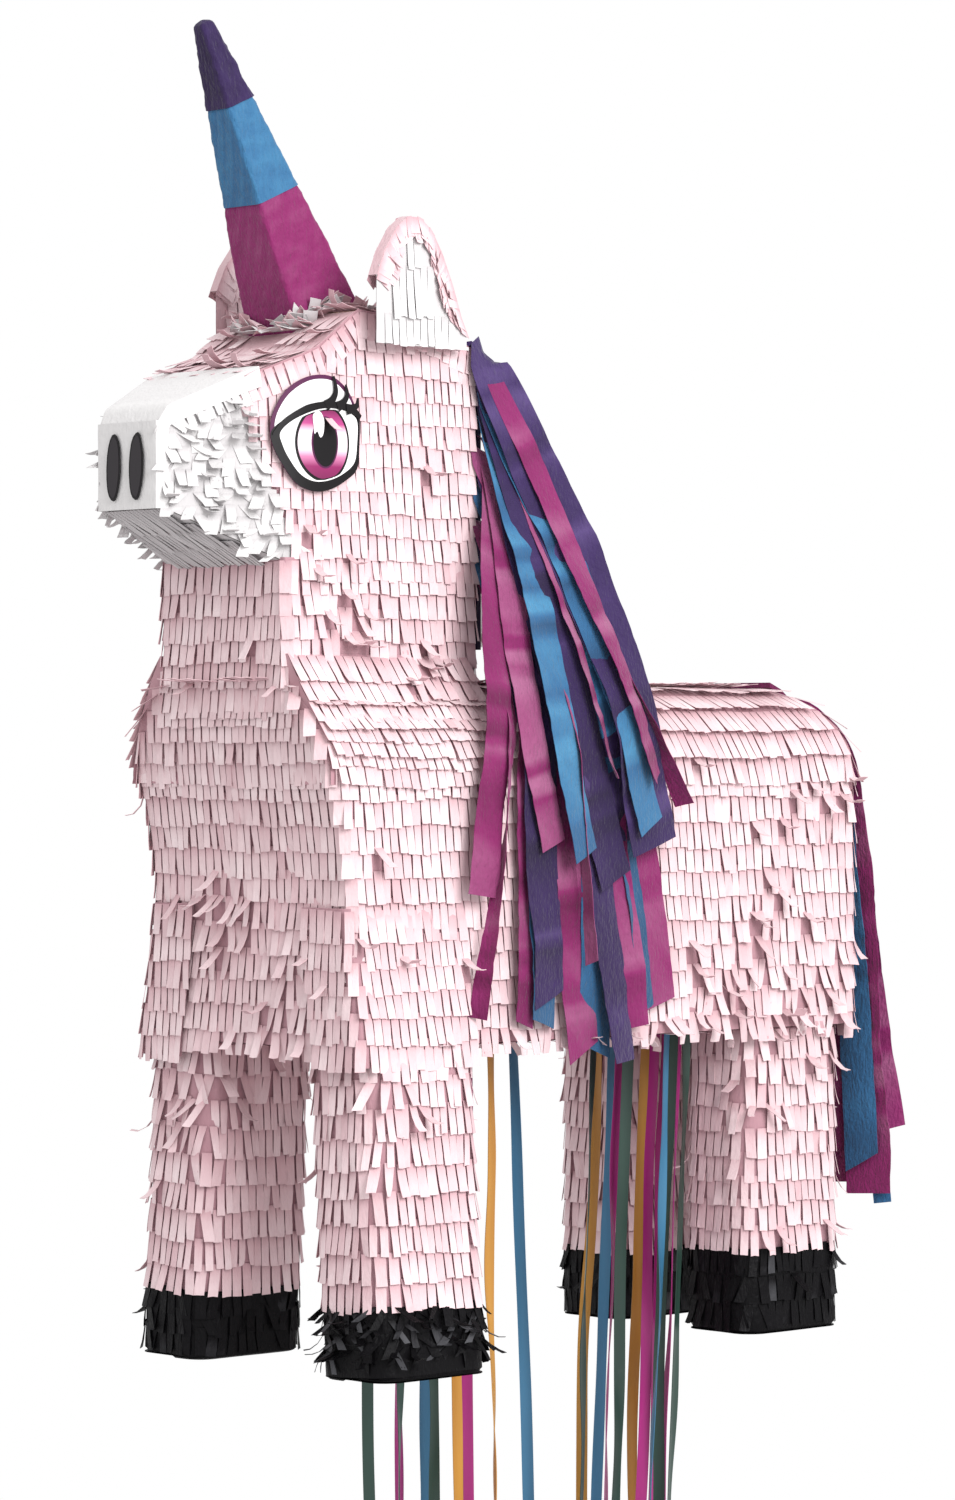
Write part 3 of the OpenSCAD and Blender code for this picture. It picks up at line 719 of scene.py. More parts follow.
def make_cheek(side):
    """The side of the head: pink rows, and short ruffled white ones on the muzzle."""
    point, name = cheek(side), SIDE_NAME[side]
    pink, white = Tabs("fringe_cheek_" + name, PINK), Tabs("fringe_muzzle_" + name, WHITE)
    spans = span(0.5, CHEEK_L - 0.5)

    def from_eye(p, grow=0.0):
        """Distance from the middle of the eye as a share of its size."""
        return np.hypot((p[..., 1] - EYE_Y) / (EYE_RY + grow), (p[..., 2] - EYE_CZ) / (EYE_RZ + grow))

    def clear_of_eye(p):
        return from_eye(p) > 0.45

    def lift(p):
        """Tabs lie flat where they run under the sticker."""
        return 0.04 + 0.07 * np.clip(from_eye(p - (0, 0, 6), 6) * 2 - 2.0, 0, 1)

    def keep_pink(p):
        inside = in_outline(p[..., 1], p[..., 2], HEAD_SIDE, -1) & (p[..., 2] > 330)
        return inside & (white_share(p) < 0.5) & clear_of_eye(p)

    def keep_white(p):
        return in_outline(p[..., 1], p[..., 2], HEAD_SIDE, -1.5) & (white_share(p) >= 0.5) & clear_of_eye(p)

    def wild(p):
        """Calm round the eye, and ruffled towards the muzzle."""
        y, z = p[..., 1], p[..., 2]
        calm = 1 - np.exp(-((np.hypot(y - EYE_Y, z - EYE_CZ - 6.3) / 36) ** 6))
        return 0.02 + (0.03 + 0.35 * np.clip((-118 - y) / 14, 0, 1) + near(p, RUFFLES)) * calm

    fringe(pink, point, np.arange(6, 106, 9.4), spans, keep_pink, wild, 6 + side, lift=lift)
    for tabs, keep, tone in ((pink, keep_pink, 0.8), (white, keep_white, 0.85)):
        fringe(tabs, cheek_skin(side), (0.004,), spans, lambda p: keep(p - (0, 0, 3)), 0.0, 10 + side, length=11,
               wave=0, tone=tone, lift=lift)
    under = cheek_skin(side), (0, CHEEK_L, 70), (-0.005, 1, 24)
    pink.skin(*under, lambda p: white_share(p) < 0.6)
    pink.make("fringe_head")
    fringe(white, point, np.arange(16, 106, 4.8), spans, keep_white, 0.7, 8 + side, pitch=5.6, length=8,
           lift=0.25, root=0.5, tone=0.85, scatter=1.0)
    white.skin(*under, lambda p: white_share(p) > 0.4, tone=0.5)
    white.make("fringe_muzzle")


for side in SIDE_NAME:
    make_cheek(side)

CROWN = Profile(HEAD_SIDE[2:9])
WHITE_TOP = 126.0


def crown(u, v):
    """The top of the head: u across, v along it from the nape to the nose."""
    y, z = CROWN(v)
    return xyz(u, y - np.minimum(v, 0), z)


def crown_half(v):
    """Half the width of the top of the head."""
    return half_width(CROWN(v)[0])


def make_crown():
    """The pink rows on the top of the head, round the horn, and those down the nape."""
    tabs = Tabs("fringe_forehead", PINK)

    def spans(v):
        half = crown_half(v) - 0.4
        return span(-half, half)

    def keep(p):
        """Leaves out the horn's foot."""
        return ~((np.abs(p[..., 0]) < 14) & (np.abs(p[..., 1] + 104) < 14))

    fringe(tabs, crown, np.arange(1, WHITE_TOP - 6, 9), spans, keep, 0.14, 20, length=11.5)

    def cover(u, v):
        over = np.maximum(np.abs(u) - 1, 0)[..., None]
        return crown(np.clip(u, -1, 1) * crown_half(v), v) - over * (0, 0, 8.0)

    edge = np.array((1.02, 1.1, 1.4))
    tabs.skin(cover, np.concatenate([-edge[::-1], np.linspace(-1, 1, 16), edge]),
              np.linspace(-1.3, CROWN.length, 40), out=0.5, tone=0.4)
    tabs.make("fringe_head")

    nape = Tabs("fringe_nape", PINK)

    def back(u, v):
        return xyz(-u, NAPE_Y, NAPE_TOP - v)

    fringe(nape, back, np.arange(0.2, 88, 9.6), span(-38.6, 38.6), None, 0.02, 21, lift=0.06, stray=0.2)
    nape.skin(back, (-39, 39, 18), (-1.6, 90, 12))
    nape.make("fringe_head")


make_crown()


def make_jaw():
    """The underside of the muzzle: long parallel cuts, mostly flat."""
    tabs = Tabs("fringe_jaw", WHITE)
    length = float(np.linalg.norm(JAW[1] - JAW[0]))
    slope = (JAW[1] - JAW[0]) / length

    def point(u, v):
        return xyz(u, JAW[0, 0] + v * slope[0], JAW[0, 1] + v * slope[1])

    def half_at(v):
        return half_width(np.interp(v, [0, length], JAW[:, 0]))

    def spans(v):
        half = half_at(v) - 0.3
        return span(-half, half)

    # Painted shade: the underside's tabs and backing get a low tone, so the white paper shows grey as if in shadow.
    fringe(tabs, point, (0.5, 16, 32), spans, None, 0.0, 22, pitch=2.6, length=21, tone=0.35, lift=0.04, root=1.2,
           stray=0)
    tabs.skin(lambda u, v: point(u * half_at(v), v), (-1, 1, 12), (0, length, 8), tone=0.35)
    tabs.make("fringe_muzzle")


make_jaw()


def paper_sheet(name, point, us, vs, out, tone, ripple, seed):
    """A sheet of smooth white paper over a surface on the muzzle, standing off it."""
    u, v = np.meshgrid(us, vs)
    p, _, _, normal = frames_of(point, u, v, 0.3)
    lift = out + ripple * (smooth_noise(u / 7 + v / 11, seed) + 0.6 * smooth_noise(v / 4 - u / 9, seed + 1))
    top = p + normal * lift[..., None]
    piece = add_quads(name, two_layers(top, top - 0.35 * normal), sheet_faces(len(vs), len(us)), WHITE)
    shade = tone + 0.05 * smooth_noise(u / 5 + v / 3, seed + 2)
    store_tone(piece, np.clip(np.tile(shade.ravel(), 2), 0, 1))
    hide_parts("fringe_muzzle")


def make_muzzle_sheets():
    """Smooth paper on the muzzle's top and front, folded a little way over its edges."""
    def folded(base, half_at, fold):
        """A flat surface over |u| < 1 that turns along fold beyond it."""
        def point(u, v):
            over = np.maximum(np.abs(u) - 1, 0)[..., None]
            return base(np.clip(u, -1, 1) * half_at(v), v) + over * fold
        return point

    edge = np.array((1.03, 1.1, 1.25, 1.5))
    us = np.concatenate([-edge[::-1], np.linspace(-1, 1, 26), edge])
    top = folded(crown, crown_half, (0, 0, -13))
    paper_sheet("muzzle_top_paper", top, us, np.linspace(WHITE_TOP - 4, CROWN.length + 0.5, 36), 2.0, 0.9, 0.10, 31)
    front = folded(lambda u, v: xyz(u, NOSE_Y, 386 - v), lambda v: NOSE_X, (0, 6, 0))
    paper_sheet("nose_paper", front, us, np.linspace(0, 35.2, 20), 2.4, 0.8, 0.08, 35)


make_muzzle_sheets()


# ---- legs and hooves
# x, y, splay in degrees, height of the hoof cover, how ruffled it is
LEGS = {
    "front_left": (50, -95, 3.5, 28, 0.75), "front_right": (-50, -95, -3.5, 28, 0.12),
    "rear_left": (40, 135, 0, 36, 0.1), "rear_right": (-40, 135, 0, 30, 0.1),
}
LEG_X, LEG_Y, LEG_R = 20.0, 29.0, 10.0
LEG_RUFFLES = [(-36, -124, 106, 20, 0.5), (70, -116, 88, 9, 0.6), (70, -116, 121, 8, 0.5), (60, 112, 100, 9, 0.6)]


def leg_section(v):
    """Section of a leg at a distance v below the belly."""
    return -LEG_X, LEG_X, -LEG_Y, LEG_Y, LEG_R, BELLY_Z - np.asarray(v, float)


def leg_point(x, y, splay):
    """The surface of a leg that stands at x, y and leans outwards by splay."""
    base, a = loop_point(leg_section), math.radians(-splay)

    def point(u, v):
        p = base(u, v)
        h = p[..., 2] - BELLY_Z
        return xyz(x + p[..., 0] * math.cos(a) + h * math.sin(a), y + p[..., 1],
                   BELLY_Z - p[..., 0] * math.sin(a) + h * math.cos(a))
    return point


def make_leg(name, x, y, splay, hoof, wild):
    """A leg's rows and its black hoof cover; hoof is the cover's height, wild how ruffled it is."""
    point, spans = leg_point(x, y, splay), loop_spans(leg_section)
    tabs = Tabs("fringe_leg_" + name, PINK)
    foot = BELLY_Z / math.cos(math.radians(splay)) - 0.5
    rows_v = np.linspace(1, foot - hoof - 11, 9)

    def ruffle(p):
        high = np.clip((p[..., 2] - 112) / 18, 0, 1) * 0.12
        loose = np.clip(smooth_noise(p[..., 2] / 6 + p[..., 1] / 11 + p[..., 0] / 17, 40), 0, 1)
        return 0.03 + high + near(p, LEG_RUFFLES) + 0.16 * loose

    fringe(tabs, point, rows_v, spans, None, ruffle, 50 + int(x) + int(y), pitch=4.3, tone=0.8, scatter=0.45)
    tabs.skin(point, (0, 8, 65), (0, foot - hoof + 4, 12))
    tabs.make("fringe_legs")
    cover = Tabs("hoof_" + name, BLACK)
    rows_v = np.linspace(foot - hoof, foot - 12, 4 if wild > 0.5 else 3)
    # Painted glints: a share of the hoof tabs get a high tone and show lighter, standing in for glints of light.
    glints = 0.22 if wild > 0.5 else 0.06
    fringe(cover, point, rows_v, spans, None, wild, 60 + int(x) + int(y), pitch=4.6 if wild < 0.5 else 4.0,
           length=11.5, lift=0.07, root=1.4, scatter=1.6,
           tone=lambda p: np.where(rng.random(len(p)) < glints, 0.82, 0.42))
    cover.skin(lambda u, v: np.maximum(point(u, v), (-999, -999, -0.3)), (0, 8, 65),
               (foot - hoof, foot + 4, 9), out=1.1, tone=0.3)
    middle = point(np.arange(0, 8, 0.5), foot).mean(0)

    def sole(u, v):
        """The sole: the foot's outline drawn in to its middle."""
        ring = point(u, np.full(np.shape(u), foot))
        flat = middle + (ring - middle) * np.asarray(v, float)[..., None]
        return flat * (1, 1, 0) - (0, 0, 0.3)

    cover.skin(sole, (8, 0, 65), np.array([0.05, 0.4, 0.75, 1.04]), out=0.0, tone=0.3)
    cover.make("hoof_covers")


for leg_name, leg in LEGS.items():
    make_leg(leg_name, *leg)

HIP = Profile([(62.2, 190), (64.2, 170), (67.6, 152), (69.4, 140), (70.2, 130), (70.3, 126)])
HIP_R, HIP_FRONT, HIP_FACE, HIP_SIDE = 4.0, -129.4, 24.0, 66.0


def make_hip(side):
    """Rows that carry the torso's side and front down over the top of a splayed front leg."""
    tabs = Tabs("fringe_hip_" + SIDE_NAME[side], PINK)

    def point(u, v):
        u = u * side
        angle = np.clip(u / HIP_R, 0, math.pi / 2)
        x, z = HIP(v)
        return xyz(side * (x - HIP_R * (1 - np.sin(angle)) + np.minimum(u, 0)),
                   HIP_FRONT + HIP_R * (1 - np.cos(angle)) + np.maximum(u - HIP_R * math.pi / 2, 0), z)

    a, b = sorted((side * -HIP_FACE, side * HIP_SIDE))
    fringe(tabs, point, np.linspace(1, 53, 6), span(a, b), None, 0.05, 19, lift=0.06)
    tabs.skin(point, (a, b, 46), (0, HIP.length, 10))
    tabs.make("fringe_body")


for side in SIDE_NAME:
    make_hip(side)


# ---- horn
HORN_AT, HORN_TILT, HORN_L = np.array((0, -101, TOP_Z)), math.radians(24.5), 127.0
HORN_TURN = np.array([
    (1, 0, 0), (0, math.cos(HORN_TILT), -math.sin(HORN_TILT)), (0, math.sin(HORN_TILT), math.cos(HORN_TILT)),
])


def horn_section(v):
    """Section of the horn at a distance v below its tip, with a blunt end."""
    v = np.asarray(v, float)
    half = (27 * v / HORN_L + 4) / 2 + 1.0
    half = half * np.sqrt(1 - np.clip((2 - v) / 2.05, 0, 1) ** 2) + 0.05
    return -half, half, -half, half, np.minimum(half * 0.9, 1.1 + 0.6 * np.clip((20 - v) / 20, 0, 1)), HORN_L - v


def horn(u, v):
    """The surface of the horn, tilted forwards on the head."""
    return loop_point(horn_section)(u, v) @ HORN_TURN.T + HORN_AT


def crumple(u, v, seed, size=9.0):
    """Folds of crumpled paper: flat facets between crossing creases, about 0..1."""
    local = np.random.default_rng(seed)
    total, share = 0.0, 1.0
    for octave in range(3):
        cell = size / 1.9 ** octave
        su, sv = local.uniform(u.min() - cell, u.max() + cell, 400), local.uniform(v.min() - cell, v.max() + cell, 400)
        keep = int(min(400, 1.6 * (np.ptp(u) + 2 * cell) * (np.ptp(v) + 2 * cell) / cell ** 2)) + 2
        far = np.sqrt((u[..., None] - su[:keep]) ** 2 * 0.6 + (v[..., None] - sv[:keep]) ** 2 * 1.5)
        total = total + share * far.min(-1) / cell
        share *= 0.5
    return total / 1.1


def make_band(name, node, v0, v1, material, seed, folds, bright):
    """One wrap of crepe round the horn, closed at both edges."""
    us = np.concatenate([np.linspace(k, k + 1, 24 if k % 2 == 0 else 5)[:-1] for k in range(8)])
    vs = np.linspace(v0, v1, 50)
    u, v = np.meshgrid(us, vs)
    p, _, _, out = frames_of(horn, u, v, 0.05)
    near_tip = np.clip(v / 12, 0, 1)
    mm = (u % 2) * 22
    front = np.clip(1.5 - 1.5 * np.abs(u - 6.5), 0, 1)
    folds = folds * (1 - 0.75 * front)
    creases = crumple((mm + 22 * np.floor(u / 2)) * 0.5, v, seed) - 0.5
    lift = 2 * folds * creases + 0.1 * smooth_noise(v / 2 + mm, seed)
    edge = 0.35 * np.clip((v - v1 + 3) / 3, 0, 1) - 0.35 * np.clip((v0 + 3 - v) / 3, 0, 1) * (v0 > 5)
    top = p + out * (0.55 + (lift + edge) * near_tip)[..., None]
    faces = sheet_faces(len(vs), len(us), closed=True)
    piece = add_quads(name, two_layers(top, p + out * 0.15), faces, material, smooth=60)
    # Painted shade and light: the front face, turned from the lamp, is painted darker, and the crumple's raised folds
    # lighter and its hollows darker.
    shade = bright - 0.12 * front + 0.10 * lift / folds + 0.04 * smooth_noise(mm / 5 + v / 7, seed + 3)
    store_tone(piece, np.clip(np.tile(shade.ravel(), 2), 0, 1))
    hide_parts(node)


make_band("horn_purple", "horn_wrap_purple", 0.0, 35.5, PURPLE, 71, 0.55, 0.25)
make_band("horn_blue", "horn_wrap_blue", 35.0, 76.0, BLUE, 72, 0.4, 0.62)
make_band("horn_magenta", "horn_wrap_magenta", 75.5, 143, MAGENTA, 73, 0.4, 0.5)


def make_collar():
    """A crumpled strip of white and pink paper round the foot of the horn."""
    for name, material, step, count in (("collar_white", WHITE, 0.0, 34), ("collar_pink", PINK, 0.5, 26)):
        tabs = Tabs(name, material)
        u = (np.arange(count) + step) * 8 / count
        local = loop_point(lambda v: (-17, 17, -17, 17, 4, 0))
        none = np.zeros(count)
        tangent = unit(local(u + 0.05, none) - local(u - 0.05, none))
        outward = xyz(tangent[:, 1], -tangent[:, 0], none)
        p = local(u, none) @ HORN_TURN.T + HORN_AT
        top = np.interp(p[:, 1], CROWN.points[::-1, 0], CROWN.points[::-1, 1])
        slide = (top + 2.0 - p[:, 2]) / math.cos(HORN_TILT)
        p = p + slide[:, None] * HORN_TURN[:, 2] - outward
        up = np.tile((0.0, 0.0, 1.0), (count, 1))
        for ahead, wide, long, lift, curl, sway in (
                (0, (5, 9), (7, 10), (0.5, 1.25), (-1.6, 0.6), 0.5),
                (3, (5, 8), (6, 8), (0.1, 0.6), (-0.6, 0.6), 0.4)):
            tabs.add(p + outward * ahead, tangent, outward, up, rng.uniform(*wide, count),
                     rng.uniform(*long, count), rng.uniform(*lift, count), rng.uniform(*curl, count),
                     rng.normal(0, 0.4, count), rng.normal(0, sway, count), rng.uniform(0.6, 1, count), 0.3)
        tabs.make("horn_collar")


make_collar()

# ---- ears
EAR = np.array([
    (16, -4), (14, 3), (10, 10), (5, 22), (-1, 34), (-7, 43), (-14, 48), (-21, 48), (-28, 43), (-35, 33), (-40, 21),
    (-40, -4),
], float)
EAR_TURN, EAR_MIDDLE, EAR_Z = math.radians(5), 28, 424


def ear_place(side):
    """Turns ear points (x outwards, y along, z up) into standing points, with the ear turned a little."""
    def place(q):
        x, y, z = q[..., 0], q[..., 1] - EAR_MIDDLE, q[..., 2]
        return xyz(side * (42.6 + x * math.cos(EAR_TURN) - y * math.sin(EAR_TURN)),
                   NAPE_Y + x * math.sin(EAR_TURN) + y * math.cos(EAR_TURN), EAR_Z + z)
    return place


def make_ear(side):
    """The ear's white inner face and pink back and rim."""
    place, name = ear_place(side), SIDE_NAME[side]
    white, pink = Tabs("ear_inner_" + name, WHITE), Tabs("ear_rim_" + name, PINK)

    def inside(p, grow):
        along = (p[..., 1] - NAPE_Y) / math.cos(EAR_TURN) + EAR_MIDDLE
        return in_outline(along, p[..., 2] - EAR_Z, EAR, grow)

    for face, x in ((1, 4.0), (-1, 0.0)):
        def point(u, v, x=x, flip=side * face):
            return place(xyz(x, flip * u, 50 - v))

        rows = ((6, 16), (21, 22), (41, 13)) if face > 0 else [(v, 12) for v in np.arange(9, 48, 8.5)]
        kind = white if face > 0 else pink
        for v, length in rows:
            fringe(kind, point, (v,), span(-40, 16), lambda p: inside(p, -4.0), 0.05, 80 + side + face,
                   pitch=4.8, length=length, lift=0.06, root=0.5, tone=0.9)
        kind.skin(point, (-40, 16, 40), (0, 54, 40), lambda p: inside(p, 0.3), out=0.25, tone=0.6)
    rim = np.concatenate([
        np.linspace(a, b, max(int(np.linalg.norm(b - a) / 2.6), 1), endpoint=False)
        for a, b in zip(EAR[1:-2], EAR[2:-1])
    ])
    n = len(rim)
    ahead = unit(np.roll(rim, -1, 0) - np.roll(rim, 1, 0))
    ahead[0], ahead[-1] = unit(rim[1] - rim[0]), unit(rim[-1] - rim[-2])
    inward = unit(np.array((-15.0, 14.0)) - rim)
    origin = place(np.zeros((1, 3)))

    def solid(q, x):
        return place(xyz(x, q[:, 0], q[:, 1]))

    across, down = solid(ahead, 0) - origin, solid(inward, 0) - origin
    for face, x in ((1, 4.2), (-1, -0.2)):
        out = place(np.tile((float(face), 0.0, 0.0), (n, 1))) - origin
        for ring, reach in ((0.0, 8.0), (3.5, 7.0)):
            pink.add(solid(rim + inward * ring, x) - down * 0.8, across, down, out, rng.uniform(3.2, 5.5, n),
                     reach * rng.uniform(0.7, 1.1, n), rng.uniform(0.05, 0.3, n), rng.uniform(-0.3, 0.4, n),
                     rng.normal(0, 0.2, n), rng.normal(0, 0.15, n), rng.uniform(0.6, 1.0, n), 0.5)
    corners = [solid(q, x) for q in (rim, rim - inward) for x in (-0.6, 4.6)]
    i = np.arange(n - 1)
    quads = [(n * 2 + i, n * 2 + i + 1, n * 3 + i + 1, n * 3 + i), (i + 1, i, n + i, n + i + 1),
             (i, i + 1, n * 2 + i + 1, n * 2 + i), (n + i + 1, n + i, n * 3 + i, n * 3 + i + 1)]
    pink.skins.append((np.concatenate(corners), np.concatenate([np.stack(q, 1) for q in quads]), 0.6))
    white.make("ear_" + name)
    pink.make("ear_" + name)


for side in SIDE_NAME:
    make_ear(side)


# ---- eye stickers and nostrils
def sticker_material(name, colour, roughness=0.45):
    """Printed sticker paper, a little uneven."""
    material, tree, shader = new_material(name, roughness=roughness, gloss=0.2)
    grain = noise(tree, 700, 2)
    shade = mix(tree, maths(tree, "MULTIPLY", grain, 0.10), colour, tuple(c * 0.7 for c in colour))
    link(tree, shade, shader.inputs["Base Color"])
    bump(tree, shader, noise(tree, 90, 2), 0.0002, 0.4)
    return material


PAPER = sticker_material("sticker_white", (0.80, 0.79, 0.79))
INK = sticker_material("sticker_black", (0.006, 0.005, 0.006), 0.4)
PLUM = sticker_material("sticker_plum", (0.085, 0.015, 0.06))
GREY = sticker_material("sticker_grey", (0.028, 0.024, 0.028), 0.5)


def iris_material():
    """Magenta above and below, paler through the middle, from the height stored on each point."""
    material, tree, shader = new_material("sticker_iris", roughness=0.45)
    dark, pale = (0.15, 0.0, 0.06), (0.80, 0.66, 0.72)
    colour = ramp(tree, tone_of(tree), [
        (0, dark), (0.18, (0.23, 0.002, 0.09)), (0.32, (0.52, 0.16, 0.32)), (0.45, pale), (0.66, pale),
        (0.80, (0.42, 0.04, 0.20)), (1, dark),
    ])
    link(tree, colour, shader.inputs["Base Color"])
    bump(tree, shader, noise(tree, 90, 2), 0.0002, 0.4)
    return material


IRIS = iris_material()


def smooth_closed(points):
    """A closed outline of about 96 points through the given ones."""
    each = max(96 // len(points), 3)
    return spline(points, np.arange(len(points) * each) / each, closed=True)


def ellipse(cx, cy, rx, ry, n=64, turn=0.0):
    t = np.linspace(0, 2 * np.pi, n, endpoint=False)
    x, y = rx * np.cos(t), ry * np.sin(t)
    return np.stack([cx + x * math.cos(turn) - y * math.sin(turn), cy + x * math.sin(turn) + y * math.cos(turn)], -1)


def stroke(points, widths, n=40):
    """A brush stroke along points with a width at each."""
    t = np.linspace(0, 1, n)
    line = spline(points, t * (len(points) - 1))
    ahead = unit(np.gradient(line, axis=0))
    width = np.interp(t, np.linspace(0, 1, len(points)), widths)
    side = np.stack([-ahead[:, 1], ahead[:, 0]], -1) * width[:, None] / 2
    return np.concatenate([line + side, (line - side)[::-1]])


def flat_piece(name, outline, place, height, thick, material, strip=False, rings=16):
    """A thin solid piece cut to an outline of (a, b) and laid on a surface by place(a, b, height). It is
    filled by rings about its middle, or across from side to side where it is a strip. Returns the piece,
    and b at each of its points."""
    n = len(outline)
    if strip:
        flat = outline
        faces = [(i, i + 1, n - 2 - i, n - 1 - i) for i in range(n // 2 - 1)]
    else:
        middle = outline.mean(0)
        flat = np.concatenate([middle + (outline - middle) * f for f in np.linspace(0.04, 1, rings)])
        faces = [tuple(range(n))] + grid_faces(rings, n, 0, True)
    m = len(flat)
    rim = [(m - n + i, m - n + (i + 1) % n) for i in range(n)]
    faces = [f[::-1] for f in faces] + [tuple(i + m for i in f) for f in faces]
    faces += [(a, b, b + m, a + m) for a, b in rim]
    layers = np.concatenate([place(*flat.T, height), place(*flat.T, height - thick)])
    mesh = bpy.data.meshes.new(name)
    mesh.from_pydata(row(layers).tolist(), [], faces)
    work = bmesh.new()
    work.from_mesh(mesh)
    bmesh.ops.recalc_face_normals(work, faces=work.faces)
    work.to_mesh(mesh)
    work.free()
    return add_piece(name, mesh, material, "pinata", 35), np.tile(flat[:, 1], 2)


def make_eye(side):
    """A printed eye: outline, lid, white, iris, pupil, highlight and lashes as thin layers."""
    name = "eye_" + SIDE_NAME[side]
    soft, stand_off = 5.0, 2.9

    def surface(u, v):
        """The cheek with its bend eased over soft mm, as a stiff sticker lies on it."""
        bend = soft * (np.log1p(np.exp((TAPER_Y - side * u) / soft)) - math.log(2))
        return xyz(side * (HEAD_X - TAPER_SLOPE * bend), side * u, -v)

    def place(a, b, height):
        p, _, _, out = frames_of(surface, side * (EYE_Y + a * EYE_RY), -(EYE_CZ + b * EYE_RZ), 1.0)
        return p + out * (stand_off + height)

    lid_line = [(-0.95, -0.05), (-0.72, 0.18), (-0.30, 0.40), (0.12, 0.48), (0.52, 0.47), (0.82, 0.40), (0.99, 0.29)]
    low_rim = [(0.99, -0.18), (0.93, -0.58), (0.62, -0.80), (0.22, -0.96), (-0.15, -0.99), (-0.50, -0.86),
               (-0.78, -0.52), (-0.93, -0.26)]
    base = smooth_closed([
        (-0.99, -0.02), (-0.93, 0.32), (-0.66, 0.72), (-0.22, 0.95), (0.28, 0.97), (0.66, 0.78), (0.88, 0.50),
        (0.99, 0.26), *low_rim,
    ])
    lid = smooth_closed([
        (-0.90, 0.06), (-0.84, 0.34), (-0.60, 0.66), (-0.20, 0.88), (0.26, 0.90), (0.58, 0.74), (0.80, 0.50),
        (0.50, 0.47), (0.10, 0.47), (-0.30, 0.39), (-0.70, 0.17),
    ])
    opening = smooth_closed([
        (-0.80, -0.02), (-0.58, 0.18), (-0.22, 0.34), (0.14, 0.42), (0.52, 0.41), (0.80, 0.34), (0.93, 0.20),
        (0.92, -0.18), (0.85, -0.48), (0.56, -0.68), (0.20, -0.80), (-0.14, -0.82), (-0.42, -0.70), (-0.64, -0.44),
        (-0.76, -0.22),
    ])
    full = smooth_closed([
        (-0.97, 0.0), (-0.70, 0.22), (-0.28, 0.46), (0.14, 0.52), (0.54, 0.50), (0.84, 0.43), (0.99, 0.28), *low_rim,
    ])

    def inner(shape, keep):
        """Keeps a shape inside the opening, by pulling its points towards the middle."""
        middle = np.array((0.1, -0.15))
        out = []
        for q in shape:
            f = 1.0
            while f > 0 and not in_outline(*(middle + (q - middle) * f), opening, -keep):
                f -= 0.01
            out.append(middle + (q - middle) * f)
        return np.array(out)

    layers = [
        ("base", base, PLUM), ("lid", lid, PAPER), ("outline", full, INK), ("white", opening, PAPER),
        ("iris_line", inner(ellipse(0.10, -0.17, 0.62, 0.66), 0.02), INK),
        ("iris", inner(ellipse(0.10, -0.17, 0.57, 0.61), 0.04), IRIS),
        ("pupil_line", ellipse(0.12, -0.16, 0.31, 0.44), PLUM),
        ("pupil", ellipse(0.12, -0.16, 0.275, 0.41), INK),
        ("highlight", smooth_closed([(-0.16, 0.30), (-0.02, 0.36), (0.08, 0.22), (0.07, 0.0), (0.0, -0.08),
                                     (-0.07, 0.02), (-0.13, -0.02), (-0.15, 0.12)]), PAPER),
        ("lash_line", stroke(lid_line, [0.02, 0.07, 0.10, 0.11, 0.11, 0.12, 0.09]), INK),
        ("lash_a", stroke([(0.12, 0.46), (0.27, 0.56), (0.36, 0.72), (0.30, 0.97)], [0.2, 0.14, 0.11, 0.05]), INK),
        ("lash_b", stroke([(0.40, 0.45), (0.54, 0.53), (0.64, 0.66), (0.60, 0.84)], [0.2, 0.13, 0.10, 0.04]), INK),
        ("lash_c", stroke([(0.62, 0.42), (0.78, 0.44), (0.88, 0.50), (0.90, 0.62)], [0.2, 0.14, 0.1, 0.04]), INK),
    ]
    for number, (part, outline, material) in enumerate(layers):
        height, thick = 0.15 + 0.105 * number, 0.1 if number else 0.5
        piece, values = flat_piece(f"{name}_{part}", outline, place, height, thick, material,
                                   strip=part.startswith("lash"))
        if material is IRIS:
            values = (values - values.min()) / (values.max() - values.min())
        store_tone(piece, values)
        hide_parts(name)


for side in SIDE_NAME:
    make_eye(side)


def make_nostrils():
    """Two printed nostrils, each a dark rim under a grey middle, with a slightly uneven edge."""
    for side in (-1, 1):
        def place(a, b, height, side=side):
            return xyz(7.2 * side + a, NOSE_Y - 3.1 - height, 368 + b)

        uneven = 1 + 0.025 * smooth_noise(np.linspace(0, 24, 72), 90 + side)[:, None]
        for part, rx, ry, material, height in (("rim", 4.5, 13.6, INK, 0.35), ("fill", 3.5, 12.3, GREY, 0.5)):
            outline = ellipse(0, 0, rx, ry, 72, -0.04) * uneven
            piece, values = flat_piece(f"nostril_{SIDE_NAME[side]}_{part}", outline, place, height, 0.3, material)
            store_tone(piece, values)
            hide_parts("nostrils")


make_nostrils()


# ---- streamers
def smooth_path(points, n=64):
    """A smooth path through points, at even steps of length, and its length."""
    dense = spline(points, np.arange(40 * (len(points) - 1) + 1) / 40)
    at = distances(dense)
    even = np.linspace(0, at[-1], n)
    return np.stack([np.interp(even, at, dense[:, i]) for i in range(3)], -1), at[-1]


